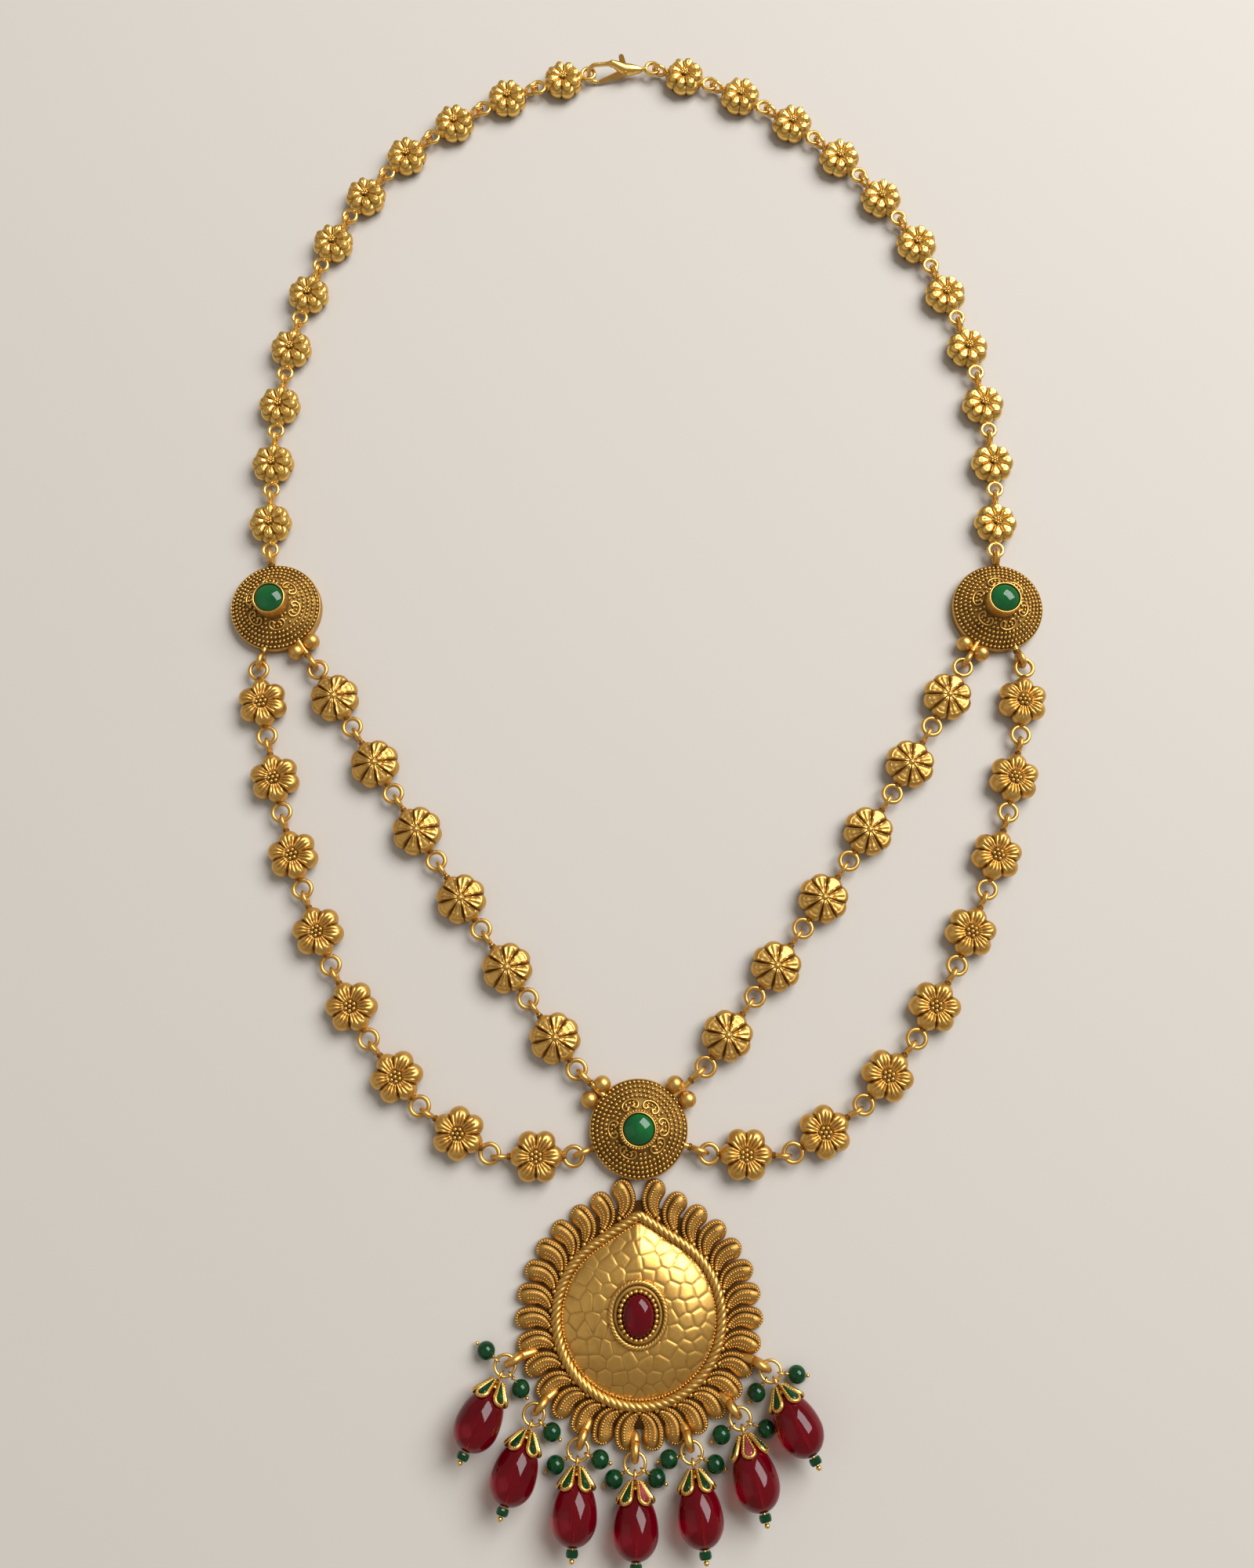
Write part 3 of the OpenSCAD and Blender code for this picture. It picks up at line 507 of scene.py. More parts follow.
def gold(name, polished, tarnished, patina_and_shade, tarnish, shine):
    """A gold finish that reads the depth stored on the piece."""
    if name in bpy.data.materials:
        return bpy.data.materials[name]
    group = bpy.data.node_groups.get(PATINA_AND_SHADE_GROUP) or make_patina_and_shade_group()
    material, tree, node = grouped_material(name, group, {
        "Polished": (*polished, 1), "Tarnished": (*tarnished, 1), "Patina": (*patina_and_shade, 1),
        "Tarnish": tarnish, "Shine": shine,
    }, 0.12, {"Metallic": 1.0})
    deep = tree.nodes.new("ShaderNodeAttribute")
    deep.attribute_name = "deep"
    tree.links.new(deep.outputs["Fac"], node.inputs["Deep"])
    return material


def stone(name, clear, cloudy, scale, transmission, ior, coat=0.3, gloss=0.5):
    """A polished stone, clear or nearly so."""
    if name in bpy.data.materials:
        return bpy.data.materials[name]
    group = bpy.data.node_groups.get(VEIL_GROUP) or make_veil_group()
    values = {"Clear": (*clear, 1), "Cloudy": (*cloudy, 1), "Scale": scale}
    return grouped_material(name, group, values, 0.04, {
        "Transmission Weight": transmission, "IOR": ior, "Specular IOR Level": gloss,
        "Coat Weight": coat, "Coat Roughness": 0.02,
    })[0]


def bright_gold():
    look = bpy.context.scene.necklace_finish
    return gold("polished_gold", look.bright, look.bright_shade, look.patina_and_shade, 0.5, 0.2)


def antique_gold():
    look = bpy.context.scene.necklace_finish
    return gold("old_gold", look.antique, look.antique_shade, look.patina_and_shade, 0.75, 0.29)


def emerald():
    look = bpy.context.scene.necklace_finish
    return stone("green_cabochon", look.green, look.green_shade, 260.0, 0.35, 1.45, 0.15, 0.3)


def dark_emerald():
    look = bpy.context.scene.necklace_finish
    return stone("green_bead", look.dark_green, look.dark_green_shade, 500.0, 0.5, 1.42, 0.1, 0.3)


def ruby():
    look = bpy.context.scene.necklace_finish
    return stone("red_stone", look.red, look.red_shade, 120.0, 0.75, 1.37, 0.0, 0.3)


def pink_stone():
    look = bpy.context.scene.necklace_finish
    return stone("pink_stone", look.pink, look.red_shade, 400.0, 0.3, 1.6)


# Flower links

# Foot of a flower: latitudes of its rows in degrees, how far it draws in and how high it stands off the table
FOOT_TURNS = (-82, -62, -42, -24, -9)
FOOT_PINCH = 2.0
FOOT_GAP = 0.1
# Tops of the petals: radius, height
UPPER_CUP = ((0, 3.55), (0.9, 3.6), (1.2, 3.95), (1.9, 4.25), (2.7, 4.35), (3.4, 4.28), (4.0, 4.05))
INNER_SPINE = ((0, 4.72), (0.3, 4.66), (0.5, 4.5), (0.66, 4.28), (1.4, 4.3), (2.2, 4.25))


def curve_point(c, t):
    a, b, d, e = (np.asarray(p, float) for p in c)
    t = np.asarray(t)[..., None]
    return (1 - t) ** 3 * a + 3 * (1 - t) ** 2 * t * b + 3 * (1 - t) * t * t * d + t ** 3 * e


def strand_joints(name):
    """The points where the links of a strand meet, equal lengths apart."""
    curve, links = STRANDS[name][:4], STRANDS[name][4]
    t = np.linspace(0, 1, 121)
    runs = distances(curve_point(curve, t))
    return curve_point(curve, np.interp(np.linspace(0, runs[-1], links + 1), runs, t))


def play_gap(ring_r):
    return ring_r + EYE_R - 2 * WIRE_R - LINK_PLAY


def petal_grid(lobe_at, petals, sides, rows, crown):
    """A flower as a grid from its foot, out round its lobes and in over its crown to the middle."""
    a = round_angles(sides)
    half = math.pi / petals
    number = np.round(a / (2 * half)).astype(int) % petals
    off = (a + half) % (2 * half) - half
    edge = lobe_at * np.cos(off) + np.sqrt(LOBE_R ** 2 - (lobe_at * np.sin(off)) ** 2)
    valley = bell(edge * np.sin(half - np.abs(off)), 0.32)
    points, deep = [], []
    for turn in np.radians(FOOT_TURNS):
        r = edge - FOOT_PINCH * (1 - math.cos(turn))
        z = RING_HEIGHT + (RING_HEIGHT - FOOT_GAP) * math.sin(turn)
        points.append(np.stack([r * np.cos(a), r * np.sin(a), np.full(sides, z)], -1))
        # Painted shade: dark in the valleys between the lobes and darker towards the underside of the foot
        deep.append(np.clip(valley * 0.9 + 0.25 * math.sin(-turn), 0, 1))
    shares = np.sin(np.linspace(math.pi / 2, 0, rows + 1))[:-1] ** 0.85
    for share in 0.45 * shares + 0.55 * np.linspace(1, 0, rows + 1)[:-1]:
        r = share * edge
        z, dark = crown(r, off, half, number, edge)
        points.append(np.stack([r * np.cos(a), r * np.sin(a), z], -1))
        deep.append(dark)
    count = len(points) * sides
    top, dark = crown(np.zeros(1), np.zeros(1), half, np.zeros(1, int), edge[:1])
    shape = Shape()
    shape.add(np.vstack([*points, [0, 0, top[0]]]), grid_faces(len(points), sides),
              np.append(np.concatenate(deep), dark[0]))
    shape.fill(0, [fan(np.arange(sides) + count - sides, count)])
    return shape


def lobe_height(r, off, lobe_at, rise):
    apart = r * r + lobe_at * lobe_at - 2 * r * lobe_at * np.cos(off)
    return RING_HEIGHT + rise * np.sqrt(np.clip(LOBE_R ** 2 - apart, 0, None))


def grain_cluster(shape, top, turn, reach, level, r, sides, low):
    """Six grains round a higher one."""
    spots = [(0, 0, top)] + [(*toward(60 * k + turn, reach), level) for k in range(6)]
    grains(shape, spots, r, sides=sides, low=low)


def upper_flower(look):
    """Round lobes below, and on top a flower with pointed petals round a cluster of grains."""
    lobe_at = look.upper_flower / MM / 2 - LOBE_R

    def crown(r, off, half, number, edge):
        base = lobe_height(r, off, lobe_at, 0.66)
        between = r * np.sin(half - np.abs(off))
        side = r * np.sin(off)
        share = np.abs(off) / half
        tip = 4.0 - 1.05 * share ** 1.7
        wall = smooth(tip - r, -0.02, 0.3)
        line = bell(side, 0.09) * smooth(r, 1.9, 2.4) * smooth(tip - r, 0.2, 0.5)
        pair = bell(np.abs(side) - 0.4, 0.09) * smooth(r, 2.5, 2.9) * smooth(tip - r, 0.3, 0.6)
        groove = bell(between, 0.15) * smooth(r, 0.9, 1.3)
        cup = follow(r, UPPER_CUP) - 0.32 * share ** 2 * smooth(r, 1.2, 2.0)
        cup = cup - 0.1 * line - 0.08 * pair - 0.4 * groove
        z = base + (np.maximum(cup, base) - base) * wall
        # Painted shade under the petal tips, in the valleys between the lobes and in the well round the
        # grains, with the darkened grooves and lines on the petals
        shade = smooth(tip + 0.25 - r, 0, 0.2) * (1 - wall) * 0.5
        valley = bell(between, 0.22) * (1 - wall) * smooth(r, 2.6, 3.4) * 0.6
        well = (1 - smooth(r, 0.85, 1.15)) * 0.55
        marks = (0.5 * groove + 0.4 * line + 0.35 * pair) * wall
        return z, np.clip(np.maximum.reduce([marks, shade, valley, well]), 0, 1)

    shape = petal_grid(lobe_at, look.upper_petals, look.upper_petals * 14, 32, crown)
    grain_cluster(shape, 4.3, 0, 0.56, 4.14, 0.31, 8, -60)
    return shape


def inner_flower(look):
    """Eight petals that rise to a boss, with raised rims in turn with ribs."""
    lobe_at = look.inner_flower / MM / 2 - LOBE_R

    def crown(r, off, half, number, edge):
        outside = lobe_height(r, off, lobe_at, 0.93)
        across = np.abs(off) / half
        between = r * np.sin(half - np.abs(off))
        lobe = RING_HEIGHT + 1.95 * np.sqrt(np.clip(1 - ((r - lobe_at) / LOBE_R) ** 2, 0, 1))
        z = np.where(r < lobe_at, follow(r, INNER_SPINE + ((lobe_at, 4.05),)), lobe)
        z = z - smooth(r, 1.3, 2.2) * 0.3 * across ** 2
        z = np.where(r > lobe_at, np.minimum(z, outside + 0.25), z)
        groove = bell(between, 0.07 + 0.035 * r) * smooth(r, 0.6, 0.85)
        z = z - (0.16 + 0.5 * smooth(r, 1.2, 3.2)) * groove * smooth(edge - r, 0, 0.8)
        ridge = bell(between - 0.14 - 0.07 * r, 0.13) * smooth(r, 0.7, 1.1) * smooth(edge - r, 0.7, 1.2)
        panel = smooth(between, 0.2 + 0.07 * r, 0.42 + 0.07 * r)
        panel = panel * smooth(r, 1.1, 1.7) * smooth(edge - r, 0.75, 1.15)
        ribs = 0.5 - 0.5 * np.cos(math.pi * 3 * across)
        ribbed = number % 2 == 1
        z = z + 0.1 * ridge - panel * np.where(ribbed, 0.05 + 0.16 * ribs, 0.19)
        z = np.where(r >= edge - 1e-6, RING_HEIGHT, np.maximum(z, RING_HEIGHT - 0.3))
        # Darker in the grooves between the petals and between the ribs: patina and painted shade
        dark = np.maximum(groove * 0.75, panel * np.where(ribbed, 0.5 * ribs ** 3, 0.1))
        return z, np.clip(dark, 0, 1)

    return petal_grid(lobe_at, look.inner_petals, look.inner_petals * 14, 34, crown)


def outer_flower(look):
    """Six round lobes with flutes near the middle and a cluster of grains in a recess."""
    lobe_at = look.outer_flower / MM / 2 - LOBE_R

    def crown(r, off, half, number, edge):
        z = lobe_height(r, off, lobe_at, 0.95)
        z = np.where(r < lobe_at, np.maximum(z, 3.8), z)
        ridge = np.abs(np.sin(2 * math.pi * off / half))
        near = smooth(r, 1.35, 1.6) * (1 - smooth(r, 3.4, 4.4))
        groove = bell(r * np.sin(half - np.abs(off)), 0.17) * smooth(r, 1.6, 2.6)
        well = 1 - smooth(r, 1.3, 1.5)
        z = z + (0.26 * ridge - 0.16) * near - 0.4 * groove * smooth(edge - r, 0, 0.8) - 0.3 * well
        z = np.where(r >= edge - 1e-6, RING_HEIGHT, z)
        # Painted shade in the valleys between the lobes, between the flutes and in the recess round the
        # grains
        dark = np.maximum.reduce([groove * 0.5, (1 - ridge) ** 4 * near * 0.55, well * 0.5])
        return z, np.clip(dark, 0, 1)

    shape = petal_grid(lobe_at, look.outer_petals, look.outer_petals * 32, 24, crown)
    grain_cluster(shape, 3.98, 30, 0.9, 3.78, 0.43, 10, -50)
    return shape


def strand_shape(name, flower):
    """All the links of one strand, each with flower, necks, ring, eye and, on a lower one, its collars."""
    shape = Shape()
    *_, links, ring_r, ring_first = STRANDS[name]
    collar_at = COLLAR_AT.get(name.split("_")[0])
    joints = strand_joints(name)
    for k in range(links):
        a, b = joints[k], joints[k + 1]
        place = shift(*(a + b) / 2) @ spin("z", heading(b - a))
        shape.put(flower, place)
        level = place @ shift(0, 0, RING_HEIGHT)
        ring_at = np.linalg.norm(b - a) / 2 - play_gap(ring_r) / 2
        lying_ring(shape, ring_r, WIRE_R, level @ shift(ring_at, 0))
        near_ring = ring_first and k == 0
        near_r = ring_r if near_ring else EYE_R
        (lying_ring if near_ring else upright_eye)(shape, near_r, WIRE_R, level @ shift(-ring_at, 0))
        rod(shape, 2, ring_at - ring_r, NECK_R, level)
        rod(shape, -(ring_at - near_r), -2, NECK_R, level)
        if collar_at:
            for at in (collar_at, -collar_at - COIL_PITCH):
                coil(shape, at, 2, 0.17, 0.52, level)
    return shape


# Medallions

# Rows of grains: from one to the next and a grain's radius. Wire loops: middle, half depth, half width,
# radius of the curls at the ends, radius of the wire, room left round them by the grains, and headings
GRAIN_STEP, GRAIN_R = 0.86, 0.36
LOOP_AT, LOOP_DEEP, LOOP_WIDE, CURL_R, LOOP_WIRE_R, LOOP_ROOM = 4.72, 1.08, 1.6, 0.42, 0.21, 0.5
CENTRE_LOOPS = (110, 60, 5, -40, -115, 180)
SIDE_LOOPS = (100, 45, -15, -75, -135, 165)
# The five grains inside a loop, from its middle
LOOP_GRAINS = ((0.35, -0.75), (0.42, 0.0), (0.35, 0.75), (-0.3, -0.4), (-0.3, 0.4))
SOLDER_R = 1.7
STONE_SUNK, STONE_RISE, STONE_CURVE = 1.5, 0.8, 4.5


def end_ring(name):
    """Where the last ring of a strand lies, against its medallion."""
    joints = strand_joints(name)
    return joints[-1] - toward(heading(joints[-1] - joints[-2]), play_gap(STRANDS[name][5]) / 2)


def start_ring(name, sign=1):
    joints = strand_joints(name)
    return joints[0] + sign * toward(heading(joints[1] - joints[0]), play_gap(STRANDS[name][5]) / 2)


def strand_bar(shape, ring_at, ring_r, at, across):
    """The eye and bar that hold a strand's ring to a medallion."""
    reach = np.linalg.norm(np.subtract(at, ring_at))
    bar_eye_r, bar_r = 1.4, 0.6
    place = shift(*ring_at, RING_HEIGHT) @ spin("z", heading(np.subtract(at, ring_at)))
    eye_at = ring_r + bar_eye_r - WIRE_R - bar_r - LINK_PLAY
    upright_eye(shape, bar_eye_r, bar_r, place @ shift(eye_at, 0), 28, 12)
    rod(shape, eye_at + bar_eye_r - 0.1, reach - across / 2 + 0.3, bar_r, place, 14)
    coil(shape, eye_at + bar_eye_r + 0.35, 2, 0.16, bar_r + 0.02, place, 0.34)


def wire_loops(shape, places, dome):
    """C-shaped wires with curled ends that lie on the dome, with grains inside."""
    t = np.radians(np.linspace(-125, 125, 26))
    arc = np.stack([LOOP_AT + LOOP_DEEP * np.cos(t), LOOP_WIDE * np.sin(t)], -1)
    run = heading(arc[-1] - arc[-2])
    curl_at = arc[-1] + toward(run + 90, CURL_R)
    curl = np.array([curl_at + toward(run - 90 + q, CURL_R) for q in range(20, 221, 20)])
    wire = np.vstack([(curl * (1, -1))[::-1], arc, curl])
    wire = np.column_stack([wire, dome(np.hypot(*wire.T)) + 0.16])
    inner = np.array(LOOP_GRAINS) + (LOOP_AT, 0)
    inner = np.column_stack([inner, dome(np.hypot(*inner.T)) + 0.06])
    for place in places:
        tube(shape, wire, LOOP_WIRE_R, 8, place=place)
        grains(shape, inner, 0.32, place)


def medallion_face(shape, at, across, cup_h, stone_d, beaded, seed):
    """Rim, dome, rows of grains, wire loops and the cup of one medallion."""
    rng = np.random.default_rng(seed)
    place = shift(*at)
    r = across / 2
    dome_r = r - 0.45
    cup_in = stone_d / 2 + 0.1
    cup_r = cup_in + 0.4

    def dome(x):
        return 2.15 + 3.0 * np.clip((dome_r - x) / (dome_r - cup_r), 0, 1) ** 0.86

    foot = float(dome(cup_r))
    # The third values darken the underside of the rim, the field between the grains and the foot of the cup:
    # patina and painted shade
    rim = [(0, 0.0, 0.8), (r - 0.12, 0.02, 0.5), (r, 0.2, 0.3), (r, 1.9, 0.15), (r - 0.05, 2.12, 0.0),
           (r - 0.18, 2.2, 0.0), (r - 0.32, 2.12, 0.6)]
    field = [(x, dome(x) - 0.12, 0.6) for x in np.linspace(r - 0.4, cup_r + 0.14, 16)]
    cup = [(cup_r + 0.04, foot + 0.3, 0.35), (cup_r - 0.02, cup_h - 0.35, 0.0),
           (cup_r - 0.06, cup_h - 0.08, 0.0), (cup_r - 0.2, cup_h, 0.0), (cup_in + 0.1, cup_h - 0.02, 0.1),
           (cup_in + 0.01, cup_h - 0.12, 0.5), (cup_in, cup_h - STONE_SUNK, 1.0),
           (0, cup_h - STONE_SUNK, 1.0)]
    turned(shape, rim + field + cup, 96, place)
    loops = CENTRE_LOOPS if beaded else SIDE_LOOPS
    row = r - 0.62
    while row > cup_r + (0.75 if beaded else 0.3):
        count = int(2 * math.pi * row / GRAIN_STEP)
        turn = rng.uniform(0, 360)
        spots = []
        for a in turn + np.arange(count) * 360 / count:
            apart = [(toward(a - b, row) - (LOOP_AT, 0)) / (LOOP_DEEP + LOOP_ROOM, LOOP_WIDE + LOOP_ROOM)
                     for b in loops]
            if min(math.hypot(*v) for v in apart) > 1:
                spots.append((*toward(a, row), float(dome(row)) + 0.06))
        grains(shape, spots, GRAIN_R * (1 + 0.04 * rng.standard_normal(len(spots))), place)
        row -= GRAIN_STEP
    wire_loops(shape, [place @ spin("z", a) for a in loops], dome)
    if beaded:
        beads = 40
        spots = [(*toward(i * 360 / beads, cup_r + 0.1), cup_h - 0.24) for i in range(beads)]
        grains(shape, spots, 0.26, place, 9, 5, -70)
        seat = [(cup_r + 0.5, foot - 0.3, 0.9), (cup_r + 0.42, foot + 0.25, 0.3),
                (cup_r + 0.02, cup_h - 0.5, 0.5)]
        turned(shape, seat, 72, place)


def solder_balls(shape, at, angles, across):
    for a in angles:
        place = shift(*at) @ spin("z", a) @ shift(across / 2 + 1.5, 0, 2.0) @ spin("y", 90)
        turned(shape, ball_profile(SOLDER_R, 20), 32, place)


def cabochon(shape, cup_h, d, at):
    """A stone with a low dome in its cup."""
    base = cup_h - STONE_SUNK
    middle = cup_h + STONE_RISE - STONE_CURVE
    r = d / 2
    side = middle + math.sqrt(STONE_CURVE ** 2 - r ** 2)
    arc = np.linspace(math.asin(r / STONE_CURVE), 0, 14)
    lift = STONE_CURVE * np.array([np.sin(arc), np.cos(arc)]).T + (0, middle)
    lift[0, 0] *= 0.988
    profile = [(0, base), (r - 0.1, base), (r, base + 0.1), (r, side - 0.06)]
    profile += [*lift[:-1], (0, middle + STONE_CURVE)]
    turned(shape, profile, 64, shift(*at))


# Pendant: its outline is measured on a teardrop whose round part has a radius of one

ROPE_R, TIP_REACH = 16.4, 19.4
TIP_TURN = 90 - math.degrees(math.acos(ROPE_R / TIP_REACH))
ROUND_RUN = math.radians(90 + TIP_TURN)
HALF_RUN = ROUND_RUN + math.tan(math.radians(90 - TIP_TURN))
FIELD_R = 14.95
CELL_RISE = 0.13
# Back plate: a disc drawn out to a small round point; its rows as share of the outline and height
PLATE_R, PLATE_POINT_AT, PLATE_POINT_R = 19.5, 18.4, 2.5
PLATE_ROWS = ((0.97, 0.02), (1.0, 0.15), (1.0, 1.15), (0.985, 1.33), (0.9, 1.34), (0.7, 1.34))
# Cups of the bezel, as shares of half their size: radius, height, depth
FRAME_HALF = (4.9, 5.55)
FRAME_CUP = (
    (1.0, 3.6, 0.9), (1.0, 4.3, 0.7), (0.94, 4.5, 0.2), (0.86, 4.62, 0.1), (0.8, 4.6, 0.5), (0.76, 4.3, 1.0),
)
RUBY_CUP = (
    (1.22, 4.2, 1.0), (1.2, 5.3, 0.6), (1.14, 5.5, 0.5), (1.06, 5.55, 0.7), (1.035, 5.5, 0.8),
    (1.034, 4.7, 1.0), (0, 4.7, 1.0),
)


def outline(runs):
    """Points of the teardrop at distances along its edge from the bottom."""
    runs = np.asarray(runs, float) % (2 * HALF_RUN)
    left = runs > HALF_RUN
    s = np.where(left, 2 * HALF_RUN - runs, runs)
    turn = -math.pi / 2 + np.minimum(s, ROUND_RUN)
    on = np.maximum(0, s - ROUND_RUN)
    lead = toward(TIP_TURN + 90)
    points = np.stack([np.cos(turn) + on * lead[0], np.sin(turn) + on * lead[1]], -1)
    points[left, 0] *= -1
    return points


def rounded_outline(count, radius):
    """The teardrop's edge as a loop of points, with its tip eased."""
    runs = np.arange(count) * 2 * HALF_RUN / count
    loop = radius * outline(runs)
    ease = bell(runs - HALF_RUN, 0.05)[:, None]
    soft = (np.roll(loop, 3, 0) + np.roll(loop, -3, 0)) / 2
    return loop * (1 - ease) + soft * ease


def cell_relief(x, y, seeds):
    """Height and depth of beaten cells: pebbles with a crease between them."""
    near = np.full(x.shape, 1e9)
    second = np.full(x.shape, 1e9)
    for sx, sy in seeds:
        d = np.hypot(x - sx, y - sy)
        second = np.minimum(second, np.maximum(near, d))
        near = np.minimum(near, d)
    edge = second - near
    return CELL_RISE * (1 - np.exp(-(edge / 0.46) ** 1.3)), bell(edge, 0.2)


def pendant_field(shape, place, look):
    """The domed field with its beaten cells, from the rope in to the bezel."""
    rng = np.random.default_rng(11)
    columns, rows = 420, 72
    loop = rounded_outline(columns, FIELD_R)
    pitch = look.cell / MM
    seeds = []
    for j in range(-14, 15):
        for i in range(-14, 15):
            spot = np.array([(i + 0.5 * (j % 2)) * pitch, j * pitch * 0.87])
            spot = spot + rng.uniform(-0.3, 0.3, 2) * pitch
            if np.hypot(*spot) < 21:
                seeds.append(spot)
    shares = np.linspace(1.0, 0.3, rows)
    rise = np.minimum((1 - shares) / 0.6, 1)
    x, y = (BEZEL_AT[q] + shares[:, None] * (loop[:, q] - BEZEL_AT[q]) for q in (0, 1))
    relief, crease = cell_relief(x, y, seeds)
    fade = smooth(shares, 1.0, 0.965)[:, None]
    z = (1.4 + 2.65 * rise * (2 - rise))[:, None] + relief * fade
    # Patina and painted shade in the creases between the cells, and painted shade in a band next to the rope
    deep = np.clip(crease * 0.5 * fade + (1 - fade) * 0.9, 0, 1)
    shape.add(np.stack([x, y, z], -1), grid_faces(rows, columns), deep.ravel(), place)


def rope_section(turns, steps):
    """Section of a two-strand rope for tube(); the sign of its turns says which way it twists."""
    def section(row, a):
        wave = np.cos(2 * (a - row * math.pi * turns / steps))
        # The second value darkens the grooves between the strands: patina and painted shade
        return 0.80 + 0.20 * np.abs(wave) ** 0.8, 0.9 * bell(wave, 0.28)
    return section


def pendant_rope(shape, place):
    """The rope border with a row of small grains inside it."""
    steps, beads = 720, 150
    path = np.column_stack([rounded_outline(steps, ROPE_R - 0.85), np.full(steps, 1.75)])
    tube(shape, path, 0.98, 20, True, place=place, section=rope_section(41, steps))
    line = np.column_stack([rounded_outline(beads, ROPE_R - 2.0), np.full(beads, 1.72)])
    grains(shape, line, 0.27, place, 7, 3, deep=0.1)


def pendant_plate(shape, place):
    """The back plate under the rope and the paisleys, darkened all over with patina and painted shade."""
    way = oval(1, 1, 160, 0.0)[:, :2]
    pointed = PLATE_R <= PLATE_POINT_AT * way[:, 1:] + PLATE_POINT_R
    edge = np.where(pointed, way * PLATE_POINT_R + (0, PLATE_POINT_AT), way * PLATE_R)
    rows = [np.column_stack([edge * share, np.full(len(edge), z)]) for share, z in PLATE_ROWS]
    skin(shape, rows, (0, 0, PLATE_ROWS[0][1]), (0, 0, PLATE_ROWS[-1][1]), 0.95, place)


# Section of a paisley from its bulging edge over the top to its hollow edge: share of the half width, share
# of the height, depth. The deepest points are the groove between its first two rows of ridges.
# The depth column darkens the paisley's foot and its groove: patina and painted shade
PAISLEY_SECTION = (
    (1.0, 0.02, 0.8), (1.06, 0.34, 0.3), (1.0, 0.62, 0.2), (0.84, 0.84, 0.3), (0.62, 0.9, 0.35),
    (0.51, 0.77, 0.8), (0.42, 0.78, 0.8), (0.3, 0.94, 0.35), (0.0, 1.0, 0.35), (-0.26, 0.95, 0.35),
    (-0.52, 0.84, 0.3), (-0.78, 0.66, 0.2), (-0.98, 0.46, 0.15), (-1.06, 0.3, 0.3), (-1.0, 0.02, 0.8),
)
PAISLEY_HEAD_R = 1.95
PAISLEY_BASE = 0.3
PAISLEY_HIGH = 1.95
# Along its spine from 0 to 1: half width, and share of its full height
PAISLEY_HALF_WIDTH = ((0, 0.6), (0.12, 1.05), (0.35, 1.5), (0.7, 1.84), (1, PAISLEY_HEAD_R))
PAISLEY_RISE = ((0, 0.6), (0.4, 0.9), (1, 1.0))
# Rows of ridges: share of the half width, half thickness, half length, rise, end of their turn round the head
RIDGE_PITCH = 0.48
RIDGES = ((0.8, 0.2, 0.42, 0.34, -40), (0.12, 0.2, 0.42, 0.34, 60), (-0.36, 0.18, 0.24, 0.24, None),
          (-0.74, 0.18, 0.24, 0.22, None))
# The border: paisleys on each side, their pitch when there are that many, and the radius it is measured on
USUAL_PAISLEYS, PAISLEY_PITCH, BORDER_R = 15, 4.05, 19.7


def paisley_spine(t):
    t = np.asarray(t, float)[..., None]
    a, b, c = np.array([0.3, -1.5]), np.array([1.9, 1.3]), np.array([5.0, 0.3])
    return (1 - t) ** 2 * a + 2 * t * (1 - t) * b + t * t * c


def paisley_top(t, angle=0.0):
    """Height of a paisley over its base. The angle runs round its head, in radians."""
    return PAISLEY_HIGH * follow(t, PAISLEY_RISE) * (0.45 + 0.55 * np.cos(angle))


def paisley_level(x, t, angle=0.0):
    """Height of a paisley's top at a share of its half width."""
    return PAISLEY_BASE + follow(x, [row[:2] for row in PAISLEY_SECTION[-3:1:-1]]) * paisley_top(t, angle)


def along(t):
    """Heading of a paisley's spine as a unit vector."""
    d = paisley_spine(np.minimum(np.asarray(t) + 0.02, 1.0)) - paisley_spine(np.minimum(t, 0.98))
    return d / np.linalg.norm(d, axis=-1, keepdims=True)


